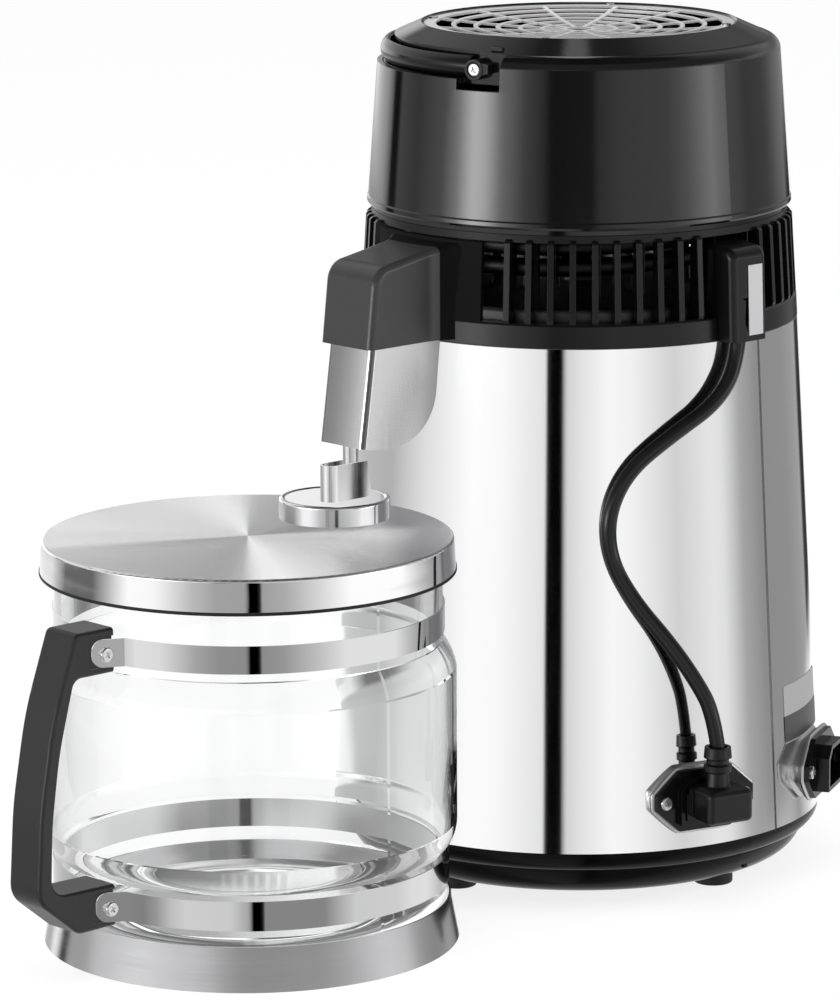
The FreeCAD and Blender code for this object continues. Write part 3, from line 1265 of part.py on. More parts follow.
def cord_arcs(points):
    """Straight runs joined by tangent arcs, each as large as its two runs allow."""
    edges = []
    here = points[0]
    for before, corner, after in zip(points, points[1:], points[2:]):
        into = (corner - before).normalize()
        out = (after - corner).normalize()
        turn = into.getAngle(out)
        trim = 0.45 * min((corner - before).Length, (after - corner).Length)
        radius = trim / math.tan(turn / 2)
        print("cord bend radius %.1f mm, turn %.0f degrees" % (radius, math.degrees(turn)))
        first = corner - into * trim
        last = corner + out * trim
        inward = (out - into).normalize()
        middle = corner + inward * (radius / math.cos(turn / 2) - radius)
        edges.append(Part.makeLine(here, first))
        edges.append(Part.Arc(first, middle, last).toShape())
        here = last
    edges.append(Part.makeLine(here, points[-1]))
    return Part.Wire(edges)


def make_fan_cord():
    points = [V(*p) for p in CORD_ROUTE]
    path = cord_arcs(points)
    start = (points[1] - points[0]).normalize()
    section = Part.Wire(Part.makeCircle(CORD_DIAMETER / 2, points[0], start))
    tube = path.makePipeShell([section], True, True)
    area = math.pi * (CORD_DIAMETER / 2) ** 2
    print("cord length %.0f mm, volume over section x length %.4f"
          % (path.Length, tube.Volume / (area * path.Length)))
    return tube


def make_fan_plug():
    """Right-angled plug: nose in the socket, ribbed neck, square head, upright relief."""
    mid = CONNECTOR_HEIGHT + 0.8
    socket_front = fan_socket_face + FLANGE_THICKNESS + COLLAR_PROUD
    nose = face_slab(recess_outline(-PLUG_FIT), socket_front - RECESS_DEPTH - COLLAR_PROUD + 1.0,
                     socket_front + 1.0)
    head_back = plug_front - PLUG_BLOCK_LENGTH
    neck = block(socket_front + MOVING_GAP, head_back + 2.0,
                 -PLUG_NECK_WIDTH / 2, PLUG_NECK_WIDTH / 2,
                 mid - PLUG_NECK_HEIGHT / 2, mid + PLUG_NECK_HEIGHT / 2)
    head = block(head_back, plug_front, -PLUG_WIDTH / 2, PLUG_WIDTH / 2,
                 mid - PLUG_HEIGHT / 2, mid + PLUG_HEIGHT / 2)
    head = head.makeFillet(PLUG_ROUND, head.Edges)
    relief_base = mid + PLUG_HEIGHT / 2 - 3.0
    bore = CORD_DIAMETER / 2 + CORD_PLAY
    relief_body = lathe([
        (0, relief_base), (RELIEF_WAIST + 1.0, relief_base),
        (RELIEF_WAIST, relief_base + 9.0), (RELIEF_RADIUS, relief_base + 9.6),
        (RELIEF_RADIUS, relief_base + 12.4), (RELIEF_WAIST, relief_base + 13.0),
        (RELIEF_WAIST, RELIEF_TOP - 5.4), (RELIEF_RADIUS, RELIEF_TOP - 4.8),
        (RELIEF_RADIUS - 0.4, RELIEF_TOP), (bore, RELIEF_TOP), (bore, RELIEF_TOP - 4.0),
        (0, RELIEF_TOP - 4.0),
    ])
    relief_body = moved(relief_body, relief_reach, 0, 0)
    ribs = []
    for i in range(3):
        x = socket_front + 1.4 + 1.9 * i
        ribs.append(block(x, x + 0.9, -PLUG_NECK_WIDTH / 2 - 0.7, PLUG_NECK_WIDTH / 2 + 0.7,
                          mid - PLUG_NECK_HEIGHT / 2 + 1.0, mid + PLUG_NECK_HEIGHT / 2 - 1.0))
    return turned(fused(nose, neck, head, relief_body, *ribs), FAN_SOCKET_ANGLE)


# ---------------------------------------------------------------- carafe
def make_carafe_glass():
    """Blown jug: straight foot and neck for the straps, a bulge between, a raised punt."""
    foot = GLASS_FOOT_RADIUS
    bulge = GLASS_BULGE_RADIUS
    neck = GLASS_NECK_RADIUS
    wall = GLASS_WALL
    base = SKIRT_FLOOR_HEIGHT + SHEET
    blend = BULGE_BLEND
    floor = base + GLASS_PUNT + GLASS_FLOOR
    return lathe([
        (0, base + GLASS_PUNT),
        (foot - 31.0, base + GLASS_PUNT),
        ("arc", (foot - 24.0, base + GLASS_PUNT * 0.72), (foot - 19.0, base)),
        (foot - 8.0, base),
        ("arc", (foot - 2.3, base + 2.3), (foot, base + 8.0)),
        (foot, BULGE_BOTTOM - blend * 0.6),
        ("arc", (foot + (bulge - foot) * 0.62, BULGE_BOTTOM), (bulge, BULGE_BOTTOM + blend)),
        (bulge, BULGE_TOP - blend),
        ("arc", (bulge - (bulge - neck) * 0.38, BULGE_TOP), (neck, BULGE_TOP + blend * 0.8)),
        (neck, glass_rim - 1.2),
        ("arc", (neck - wall / 2, glass_rim), (neck - wall, glass_rim - 1.2)),
        (neck - wall, BULGE_TOP + blend * 0.8),
        ("arc", (bulge - (bulge - neck) * 0.38 - wall, BULGE_TOP - 0.8),
         (bulge - wall, BULGE_TOP - blend)),
        (bulge - wall, BULGE_BOTTOM + blend),
        ("arc", (foot + (bulge - foot) * 0.62 - wall, BULGE_BOTTOM + 0.8),
         (foot - wall, BULGE_BOTTOM - blend * 0.6)),
        (foot - wall, floor + 8.0),
        ("arc", (foot - wall - 2.4, floor + 1.6), (foot - wall - 9.0, floor - 1.8)),
        ("arc", (foot - wall - 17.0, floor - 2.0), (foot - wall - 24.0, floor)),
        (0, floor),
    ])


def make_carafe_base():
    top = SKIRT_HEIGHT
    floor = SKIRT_FLOOR_HEIGHT
    wall_at_floor = between(SKIRT_BOTTOM_RADIUS, SKIRT_TOP_RADIUS, floor / top) - SHEET
    wall_over_floor = between(SKIRT_BOTTOM_RADIUS, SKIRT_TOP_RADIUS, (floor + SHEET) / top) - SHEET
    return lathe([
        (SKIRT_BOTTOM_RADIUS, 0), (SKIRT_TOP_RADIUS, top), (SKIRT_TOP_RADIUS - SHEET, top),
        (wall_over_floor, floor + SHEET), (0, floor + SHEET), (0, floor),
        (wall_at_floor, floor), (SKIRT_BOTTOM_RADIUS - SHEET, 0),
    ])


def strap_tab_line(inner):
    """Where a strap leaves the circle and where its tab ends, in (sideways, reach)."""
    start = math.sqrt((inner + SHEET) ** 2 - STRAP_FOLD ** 2)
    return (STRAP_FOLD, start), (GRIP_HALF_WIDTH - ARM_RECESS + SEAT_GAP + SHEET, TAB_REACH)


def make_strap(inner, low, height, screw_height):
    """Band round the glass whose ends turn out as rounded tabs beside the handle."""
    high = low + height
    band = ring(inner, inner + SHEET, low, high)
    band = band.cut(block(SHEET - STRAP_FOLD, STRAP_FOLD - SHEET, -inner - 10.0, 0, low, high))
    (x0, y0), (x1, y1) = strap_tab_line(inner)
    length = math.hypot(x1 - x0, y1 - y0)
    nx, ny = (y1 - y0) / length * SHEET, -(x1 - x0) / length * SHEET
    tab = plan_slab([(x0, -y0), (x1, -y1), (x1 - nx, -(y1 - ny)), (x0 - nx, -(y0 - ny))],
                    low, high)

    def is_end_corner(edge):
        box = edge.BoundBox
        return -box.YMax > TAB_REACH - 2.0 and box.ZLength < 0.01 and edge.Length < SHEET * 1.5

    tab = round_edges(tab, TAB_ROUND, is_end_corner)
    mirrored = tab.mirror(ORIGIN, V(1, 0, 0))
    bore = rod(V(-40.0, -HANDLE_SCREW_REACH, screw_height), V(40.0, -HANDLE_SCREW_REACH, screw_height),
               HANDLE_SCREW_RADIUS + SEAT_GAP)
    return band.fuse([tab, mirrored]).cut(bore)


upper_screw = UPPER_STRAP_BOTTOM + UPPER_STRAP_HEIGHT / 2
lower_screw = LOWER_STRAP_BOTTOM + LOWER_STRAP_HEIGHT / 2


def make_carafe_handle():
    """One moulding: two arms on the straps and a bowed grip that leans out downwards."""
    top = ARM_TOP
    low = LOWER_ARM_BOTTOM
    reach = GRIP_REACH
    thick = GRIP_THICKNESS
    neck = GLASS_NECK_RADIUS + MOVING_GAP + SEAT_GAP
    foot = GLASS_FOOT_RADIUS + MOVING_GAP + SEAT_GAP
    under = top - ARM_HEIGHT
    shelf = low + LOWER_ARM_HEIGHT
    inside = reach - thick
    outline = softened([
        (neck, top, 0), (reach - 22.2, top, 3.0),
        (reach - 9.6, between(low, top, 0.735), GRIP_BOW), (reach - 2.2, between(low, top, 0.436), GRIP_BOW),
        (reach + 0.4, low + 17.6, 11.0), (reach - 21.3, low, 6.0),
        (foot, low + 0.3, 0), (foot, shelf - 0.2, 0),
        (inside + 0.4, shelf + 0.3, 7.5), (inside - 0.9, between(shelf, under, 0.34), GRIP_BOW),
        (inside - 5.3, between(shelf, under, 0.665), GRIP_BOW), (inside - 13.8, under, 5.0),
        (neck, under, 0),
    ])
    body = side_slab(outline, GRIP_HALF_WIDTH)

    def is_grip_edge(edge):
        box = edge.BoundBox
        return box.XLength < 0.01 and -box.YMax > neck + 2.0 or (
            box.XLength < 0.01 and box.YLength > 10.0)

    body = round_edges(body, GRIP_EDGE_ROUND, is_grip_edge)
    cuts = []
    for z, tall in ((upper_screw, UPPER_STRAP_HEIGHT), (lower_screw, LOWER_STRAP_HEIGHT)):
        cuts.append(rod(V(-20.0, -HANDLE_SCREW_REACH, z), V(20.0, -HANDLE_SCREW_REACH, z),
                        HANDLE_SCREW_RADIUS + RUNNING_FIT))
        for side in (1.0, -1.0):
            near, far = sorted((side * (GRIP_HALF_WIDTH - ARM_RECESS), side * 20.0))
            cuts.append(block(near, far, -TAB_REACH - 1.2, -neck + 5.0,
                              z - tall / 2 - 0.5, z + tall / 2 + 0.5))
    return body.cut(cuts)


def make_handle_screws():
    """One screw and nut through both tabs and the arm at each strap."""
    screws = []
    for inner, z in ((GLASS_NECK_RADIUS + SEAT_GAP, upper_screw),
                     (GLASS_FOOT_RADIUS + SEAT_GAP, lower_screw)):
        (x0, y0), (x1, y1) = strap_tab_line(inner)
        inside = HANDLE_SCREW_REACH - HANDLE_SCREW_HEAD
        seat = between(x0, x1, (inside - y0) / (y1 - y0)) + SEAT_GAP
        at = -HANDLE_SCREW_REACH
        shank = rod(V(-seat, at, z), V(seat + 0.3, at, z), HANDLE_SCREW_RADIUS)
        head = rod(V(seat, at, z), V(seat + HANDLE_SCREW_HEAD_HEIGHT, at, z), HANDLE_SCREW_HEAD)
        rim = [edge for edge in head.Edges
               if edge.BoundBox.XMin > seat + HANDLE_SCREW_HEAD_HEIGHT - 0.1]
        head = head.makeFillet(0.8, rim)
        nut = rod(V(-seat - 2.4, at, z), V(-seat, at, z), HANDLE_SCREW_HEAD)
        screws.append(fused(shank, head, nut))
    return Part.makeCompound(screws)


# ---------------------------------------------------------------- carafe lid
cup_x = CUP_SIDE_OFFSET
cup_y = -(PIPE_REACH + CUP_BEYOND_PIPE)


def make_carafe_lid():
    """Spun steel lid; its hole lets the drips through under the cup."""
    r = LID_RADIUS
    corner = LID_CORNER
    bow = corner * (1 - math.sqrt(0.5))
    lid = lathe([
        (0, LID_HEIGHT), (r - corner, LID_HEIGHT),
        ("arc", (r - bow, LID_HEIGHT - bow), (r, LID_HEIGHT - corner)),
        (r + LID_FLARE, lid_skirt_bottom), (r + LID_FLARE - SHEET, lid_skirt_bottom),
        (r - SHEET, LID_HEIGHT - corner - 0.2), (r - corner - 0.2, LID_HEIGHT - SHEET),
        (0, LID_HEIGHT - SHEET),
    ])
    lid = moved(lid, 0, -carafe_distance, 0)
    return lid.cut(Part.makeCylinder(LID_HOLE_RADIUS, 4.0, V(cup_x, cup_y, LID_HEIGHT - 2.0)))


def make_lid_gasket():
    low = lid_skirt_bottom - GASKET_HEIGHT
    outer = GASKET_RADIUS
    inner = GLASS_NECK_RADIUS + MOVING_GAP
    gasket = lathe([
        (inner, low + 0.4), (outer - 0.4, low), (outer, low + 0.4),
        (outer, lid_skirt_bottom), (inner, lid_skirt_bottom),
    ])
    return moved(gasket, 0, -carafe_distance, 0)


def make_drip_cup():
    """Low cap over the lid's hole, with a rolled edge round its slightly sunk top."""
    r = CUP_RADIUS
    roll = 1.3
    cap = lathe([
        (r, LID_HEIGHT), (r, cup_top - roll),
        ("arc", (r - roll * 0.3, cup_top - roll * 0.3), (r - roll, cup_top)),
        ("arc", (r - roll * 1.7, cup_top - roll * 0.16), (r - roll * 2, cup_plate)),
        (0, cup_plate), (0, cup_plate - SHEET), (r - roll * 2, cup_plate - SHEET),
        (r - SHEET, cup_plate - SHEET - 0.8), (r - SHEET, LID_HEIGHT),
    ])
    cap = moved(cap, cup_x, cup_y, 0)
    return cap.cut(Part.makeCylinder(DRIP_HOLE_RADIUS, 6.0, V(0, -PIPE_REACH, cup_plate - 3.0)))


def make_drip_guide():
    """Sheet bent round the outlet pipe: closed in front, open towards the boiler."""
    half = GUIDE_HALF_WIDTH
    front = PIPE_REACH + GUIDE_FRONT
    back = PIPE_REACH - GUIDE_BACK
    inner = half - SHEET
    bend = front - half
    low = cup_plate
    high = low + GUIDE_HEIGHT
    channel = plan_slab([
        (half, -back), (half, -bend), ("arc", (0, -front), (-half, -bend)), (-half, -back),
        (-inner, -back), (-inner, -bend), ("arc", (0, -front + SHEET), (inner, -bend)),
        (inner, -back),
    ], low, high)
    lean = side_slab([(back - 5.0, low - 1.0), (back, low - 1.0), (back + GUIDE_LEAN, high + 1.0),
                      (back - 5.0, high + 1.0)], half + 1.0)
    return channel.cut(lean)


# ---------------------------------------------------------------- the whole distiller
shell_body = make_shell_body()
to_carafe = (0, -carafe_distance, 0)
nodes = {
    "rubber_feet": make_feet(),
    "base_screws": make_base_screws(),
    "base_ring": make_base_ring(),
    "bottom_cover": make_bottom_cover(),
    "outer_shell": make_outer_shell(),
    "boiler_pot": make_boiler_pot(),
    "heater_plate": make_heater_plate(),
    "thermal_cutout": make_thermal_cutout(),
    "tie_bolt": make_tie_bolt(),
    "fan_socket_seat": make_seat(fan_socket_face, FAN_SOCKET_ANGLE, shell_body),
    "fan_socket": turned(connector_body(fan_socket_face, COLLAR_PROUD), FAN_SOCKET_ANGLE),
    "fan_socket_screws": make_connector_screws(fan_socket_face, FAN_SOCKET_ANGLE),
    "inlet_seat": make_seat(inlet_face, INLET_ANGLE, shell_body),
    "power_inlet": turned(connector_body(inlet_face, INLET_SHROUD_PROUD), INLET_ANGLE),
    "inlet_pins": make_inlet_pins(),
    "inlet_screws": make_connector_screws(inlet_face, INLET_ANGLE),
    "button_bezel": make_button_bezel(shell_body),
    "start_button": make_start_button(),
    "lid_seal": make_lid_seal(),
    "tank_lid": make_tank_lid(),
    "vent_band": make_vent_band(),
    "condenser_coil": make_condenser_coil(),
    "condenser_fins": make_condenser_fins(),
    "fan_shroud": make_fan_shroud(),
    "shoulder_cap": make_shoulder_cap(),
    "fan_guard": make_fan_guard(),
    "guard_screws": make_guard_screws(),
    "fan_motor": make_fan_motor(),
    "motor_bracket": make_motor_bracket(),
    "fan_rotor": make_fan_rotor(),
    "carry_handle": make_carry_handle(),
    "pivot_screws": make_pivot_screws(),
    "spout_housing": make_spout_housing(),
    "nozzle_cup": make_nozzle_cup(),
    "outlet_pipe": make_outlet_pipe(),
    "cable_cover": make_cable_cover(),
    "fan_cord": make_fan_cord(),
    "fan_plug": make_fan_plug(),
    "carafe_glass": moved(make_carafe_glass(), *to_carafe),
    "carafe_base": moved(make_carafe_base(), *to_carafe),
    "upper_strap": moved(make_strap(GLASS_NECK_RADIUS + SEAT_GAP, UPPER_STRAP_BOTTOM,
                                    UPPER_STRAP_HEIGHT, upper_screw), *to_carafe),
    "lower_strap": moved(make_strap(GLASS_FOOT_RADIUS + SEAT_GAP, LOWER_STRAP_BOTTOM,
                                    LOWER_STRAP_HEIGHT, lower_screw), *to_carafe),
    "carafe_handle": moved(make_carafe_handle(), *to_carafe),
    "handle_screws": moved(make_handle_screws(), *to_carafe),
    "carafe_lid": make_carafe_lid(),
    "lid_gasket": make_lid_gasket(),
    "drip_cup": make_drip_cup(),
    "drip_guide": make_drip_guide(),
}

outermost = ("outer_shell", "fan_socket", "fan_socket_screws", "power_inlet", "carafe_handle")
skin = [point for name in outermost for point in nodes[name].tessellate(0.02)[0]]
to_origin = V(-(min(p.x for p in skin) + max(p.x for p in skin)) / 2,
              -(min(p.y for p in skin) + max(p.y for p in skin)) / 2, 0)

os.makedirs("parts", exist_ok=True)
for name, shape in nodes.items():
    shape.translate(to_origin)
    shape.exportStep("parts/%s.step" % name)
    box = shape.BoundBox
    print("%-18s %2d solids  volume %9.0f  z %.1f to %.1f  valid %s"
          % (name, len(shape.Solids), shape.Volume, box.ZMin, box.ZMax, shape.isValid()))
print("the boiler's axis is at x %.3f, y %.3f mm" % (to_origin.x, to_origin.y))
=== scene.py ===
# %% [markdown]
# # A water distiller, dressed for its picture
#
# The solids of this machine come ready from the CAD step: every shell, strap, slat and screw is
# already in its place, in metres.  This lesson gives them their finishes, adds the few things that
# a mesh does better than a solid, and sets up the studio.  We start by loading that frame.

# %% Load the frame
import bpy
import bmesh
import math
from mathutils import Matrix, Vector


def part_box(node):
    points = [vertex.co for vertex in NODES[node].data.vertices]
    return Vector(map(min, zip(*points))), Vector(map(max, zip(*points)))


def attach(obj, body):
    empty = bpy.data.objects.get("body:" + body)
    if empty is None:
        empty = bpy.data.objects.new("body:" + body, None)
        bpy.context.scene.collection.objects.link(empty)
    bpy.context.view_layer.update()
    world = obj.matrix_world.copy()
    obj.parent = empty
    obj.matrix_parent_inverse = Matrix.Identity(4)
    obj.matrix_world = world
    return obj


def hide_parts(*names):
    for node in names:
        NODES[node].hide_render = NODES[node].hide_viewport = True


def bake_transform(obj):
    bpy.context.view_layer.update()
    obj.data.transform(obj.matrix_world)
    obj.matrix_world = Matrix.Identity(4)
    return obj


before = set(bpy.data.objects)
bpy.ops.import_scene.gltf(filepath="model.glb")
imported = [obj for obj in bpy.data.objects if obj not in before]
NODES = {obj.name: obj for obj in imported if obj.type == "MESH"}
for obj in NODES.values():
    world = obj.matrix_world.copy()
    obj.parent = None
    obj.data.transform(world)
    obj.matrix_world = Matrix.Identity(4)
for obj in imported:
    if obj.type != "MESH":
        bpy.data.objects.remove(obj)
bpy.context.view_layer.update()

# %% [markdown]
# ## Where things stand
#
# The boiler is a body of revolution, so nearly every place on it is an angle, a height and a
# distance from its axis.  The axis isn't at the origin: the origin lies under the middle of boiler
# and carafe together.  We read the axis from the shell's own box instead of typing it in, and we
# write one helper that turns angle, distance and height into a point.

# %% The boiler's axis and the shell's taper
shell_low, shell_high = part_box("outer_shell")
AXIS_X = (shell_low[0] + shell_high[0]) / 2
AXIS_Y = (shell_low[1] + shell_high[1]) / 2
SHELL_FOOT_RADIUS = (shell_high[1] - shell_low[1]) / 2
SHELL_HEAD_RADIUS = 0.0984
lid_low, lid_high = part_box("carafe_lid")
CARAFE_Y = (lid_low[1] + lid_high[1]) / 2


def around_boiler(angle, distance, height):
    """A point at an angle in degrees round the boiler's axis."""
    turn = math.radians(angle)
    return Vector((AXIS_X + distance * math.cos(turn), AXIS_Y + distance * math.sin(turn),
                   height))


def shell_radius(height):
    share = (height - shell_low[2]) / (shell_high[2] - shell_low[2])
    return SHELL_FOOT_RADIUS + (SHELL_HEAD_RADIUS - SHELL_FOOT_RADIUS) * share


print("the axes stand at x =", round(AXIS_X, 4), "- boiler at y =", round(AXIS_Y, 4),
      "- carafe at y =", round(CARAFE_Y, 4))

# %% [markdown]
# ## The camera
#
# The picture is taken from a little above, with a long lens that keeps the tall boiler from
# leaning.  A camera looks along its own -Z, so we tip it up to the horizon with a turn about X,
# bring it down by its pitch, and then swing it round the boiler with a turn about Z.  A small roll
# comes first of all, about the lens itself.

# %% Camera
CAMERA_SIDE = math.radians(45.43)
CAMERA_DISTANCE = 2.4112
CAMERA_HEIGHT = 0.6642
YAW, PITCH, ROLL = 0.0299, 0.2045, -0.0050

lens = bpy.data.cameras.new("studio_camera")
lens.sensor_width = 36.0
lens.lens = 194.92
lens.clip_start, lens.clip_end = 0.1, 50.0
camera = bpy.data.objects.new("studio_camera", lens)
bpy.context.scene.collection.objects.link(camera)
bpy.context.scene.camera = camera
stand = Matrix.Translation((AXIS_X + CAMERA_DISTANCE * math.sin(CAMERA_SIDE),
                            AXIS_Y - CAMERA_DISTANCE * math.cos(CAMERA_SIDE), CAMERA_HEIGHT))
camera.matrix_world = (stand @ Matrix.Rotation(CAMERA_SIDE + YAW, 4, "Z")
                       @ Matrix.Rotation(math.pi / 2 - PITCH, 4, "X")
                       @ Matrix.Rotation(ROLL, 4, "Z"))
print("camera stands at", [round(x, 3) for x in camera.matrix_world.translation])

# %% [markdown]
# ## The fan's lead
#
# A short lead runs from the cable cover down to the socket and hangs in one loose bend.  A NURBS
# curve with few control points bends like real cable.  The lead crosses the joint between head
# and base.  We make the curve twice, once bare to read its line and once with its round section,
# and turn both into meshes.

# %% Fan lead
LEAD_DIAMETER = 0.0068
LEAD_ROUTE = [Vector((AXIS_X + x, AXIS_Y + y, z)) for x, y, z in (
    (0.1029, -0.0026, 0.2691), (0.1031, -0.0026, 0.2472), (0.1047, -0.0148, 0.2270),
    (0.0970, -0.0416, 0.2116), (0.0889, -0.0575, 0.1981), (0.0850, -0.0658, 0.1800),
    (0.0858, -0.0654, 0.1598), (0.0936, -0.0582, 0.1410), (0.1040, -0.0468, 0.1226),
    (0.1120, -0.0387, 0.1062), (0.1177, -0.0331, 0.0912), (0.1195, -0.0315, 0.0732))]


def lead_mesh(name, thickness):
    curve = bpy.data.curves.new(name, "CURVE")
    curve.dimensions = "3D"
    spline = curve.splines.new("NURBS")
    spline.points.add(len(LEAD_ROUTE) - 1)
    for point, place in zip(spline.points, LEAD_ROUTE):
        point.co = (*place, 1.0)
    spline.order_u = 3
    spline.use_endpoint_u = True
    curve.resolution_u = 24
    curve.bevel_depth = thickness / 2
    curve.bevel_resolution = 6
    curve.use_fill_caps = thickness > 0
    maker = bpy.data.objects.new(name, curve)
    bpy.context.scene.collection.objects.link(maker)
    bpy.context.view_layer.update()
    mesh = bpy.data.meshes.new_from_object(
        maker.evaluated_get(bpy.context.evaluated_depsgraph_get()))
    bpy.data.objects.remove(maker)
    return mesh


def new_piece(name, mesh):
    piece = bpy.data.objects.new(name, mesh)
    bpy.context.scene.collection.objects.link(piece)
    return piece


line = [tuple(vertex.co) for vertex in lead_mesh("lead_line", 0.0).vertices]
fan_lead = new_piece("fan_lead", lead_mesh("fan_lead", LEAD_DIAMETER))
for face in fan_lead.data.polygons:
    face.use_smooth = True
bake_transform(fan_lead)
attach(fan_lead, "head")
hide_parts("fan_cord")

# %% [markdown]
# ## A workbench for finishes
#
# Materials are node trees, and node trees are tedious to wire by hand.  Two small tools make them
# readable.  `Level` wraps a socket, so that roughness can be written as `0.2 + 0.1 * grain`, and
# each sign quietly adds a Math node.  `Finish` is one material; its `add` method is the only place
# where any other node is made.  It takes the node's type, its settings, and what goes into its
# sockets.

# %% Level and Finish
class Level:
    """A socket that can be used in sums."""

    def __init__(self, finish, socket):
        self.finish, self.socket = finish, socket

    def math(self, operation, *others):
        return self.finish.add("ShaderNodeMath", {"operation": operation}, *others)

    def __add__(self, other): return self.math("ADD", self, other)
    def __radd__(self, other): return self.math("ADD", other, self)
    def __sub__(self, other): return self.math("SUBTRACT", self, other)
    def __rsub__(self, other): return self.math("SUBTRACT", other, self)
    def __mul__(self, other): return self.math("MULTIPLY", self, other)
    def __rmul__(self, other): return self.math("MULTIPLY", other, self)
    def __truediv__(self, other): return self.math("DIVIDE", self, other)
    def __pow__(self, other): return self.math("POWER", self, other)
    def __gt__(self, other): return self.math("GREATER_THAN", self, other)
    def __lt__(self, other): return self.math("LESS_THAN", self, other)


class Finish:
    """One node tree: a material, or the world."""

    def __init__(self, name, owner=None):
        self.owner = owner or bpy.data.materials.new(name)
        self.owner.use_nodes = True
        self.tree = self.owner.node_tree
        self.tree.nodes.clear()

    def add(self, kind, settings=None, *values, out=0, **named):
        node = self.tree.nodes.new(kind)
        for key, value in (settings or {}).items():
            if key == "stops":
                ramp = node.color_ramp
                while len(ramp.elements) < len(value):
                    ramp.elements.new(0.5)
                for element, (place, colour) in zip(ramp.elements, value):
                    element.position, element.color = place, colour
            else:
                setattr(node, key, value)
        sockets = [socket for socket in node.inputs if socket.enabled]
        pairs = list(zip(sockets, values))
        for name, value in named.items():
            wanted = name.replace("_", " ")
            pairs.append((next(s for s in sockets if s.name == wanted), value))
        for socket, value in pairs:
            if isinstance(value, Level):
                self.tree.links.new(value.socket, socket)
            elif value is not None:
                socket.default_value = value
        outputs = [socket for socket in node.outputs if socket.enabled]
        if not outputs:
            return node
        return Level(self, outputs[out] if isinstance(out, int) else next(
            socket for socket in outputs if socket.name == out))

    def tinted(self, share, tint, dark=1.0, light=1.0):
        """A tint that wanders between a darker and a lighter share of itself."""
        return self.blend(share, *(tuple(part * x for x in tint) + (1.0,)
                                   for part in (dark, light)))

    def blend(self, share, first, second):
        """A colour between two colours."""
        return self.add("ShaderNodeMix", {"data_type": "RGBA"}, share, first, second)

    def place(self):
        return self.add("ShaderNodeTexCoord", out="Object")

    def noise(self, scale, stretch=(1, 1, 1), detail=2.0, where=None):
        """Cloudy values round 0.5; scale is in cells per metre, stretched along the axes."""
        spot = self.add("ShaderNodeMapping", {"vector_type": "POINT"},
                        where or self.place(), Scale=stretch)
        return self.add("ShaderNodeTexNoise", {"noise_dimensions": "3D"}, Vector=spot,
                        Scale=scale, Detail=detail)

    def round_boiler(self):
        """How far a spot is from the boiler's axis to the side, forward and in all."""
        side = self.add("ShaderNodeSeparateXYZ", None, self.place())
        ahead = Level(self, side.socket.node.outputs[1]) - AXIS_Y
        side = side - AXIS_X
        return side, ahead, (side * side + ahead * ahead) ** 0.5

    def relief(self, height, depth):
        """A bump whose depth is in metres."""
        return self.add("ShaderNodeBump", None, Height=height, Strength=1.0, Distance=depth)

    def surface(self, **sockets):
        shader = self.add("ShaderNodeBsdfPrincipled", None, **sockets)
        self.add("ShaderNodeOutputMaterial", None, shader)
        return self.owner


def dress(finish, *names):
    """Gives CAD nodes a finish."""
    for name in names:
        node = NODES[name]
        node.data.materials.clear()
        node.data.materials.append(finish)
    print(finish.name, "->", ", ".join(names))


trial = Finish("trial_finish")
grain = trial.noise(800.0)
trial.surface(Base_Color=(0.5, 0.5, 0.5, 1.0), Roughness=0.3 + 0.2 * grain)
print("a trial finish uses", len(trial.tree.nodes), "nodes")
bpy.data.materials.remove(trial.owner)

# %% [markdown]
# ## Polished steel
#
# The boiler's shell, the straps and the lid's edge are polished until they mirror the room.  Such
# sheet is never quite flat: rolling leaves long shallow waves, and wiping leaves faint hairlines
# that change the roughness a little.  We keep the colour plain and put the life in the reflection,
# with a slow wave in the bump and a fine streak in the roughness.

# %% Polished steel
def polished_steel(name, tint, wave, streak):
    steel = Finish(name)
    slow = steel.noise(9.0, (1, 1, 0.45), 1.0)
    hair = steel.noise(420.0, (1, 1, 0.03), 3.0)
    cloud = steel.noise(30.0, (1, 1, 1), 2.0)
    bent = steel.relief(slow, wave)
    return steel.surface(Base_Color=tint, Metallic=1.0,
                         Roughness=0.012 + streak * hair + 0.01 * cloud, Normal=bent)


strap_steel = polished_steel("strap_steel", (0.64, 0.64, 0.645, 1.0), 0.00006, 0.02)
bright_chrome = polished_steel("bright_chrome", (0.80, 0.80, 0.81, 1.0), 0.00006, 0.12)
dress(strap_steel, "upper_strap", "lower_strap")
dress(bright_chrome, "drip_cup", "drip_guide")

# %% [markdown]
# ## The shell
#
# A mirror shows every facet of a mesh.  The shell is a plain cone, so we know its true direction
# at any spot without asking the mesh: outward from the axis, and a little up, because it leans.
# We hand that direction to the shader on the outer wall and keep the mesh's own elsewhere.  The
# sheet's lock seam is a hairline that catches dirt, so a narrow band at its angle is darker.

# %% Shell
SEAM_ANGLE, SEAM_HALF_WIDTH = 8.65, 0.5


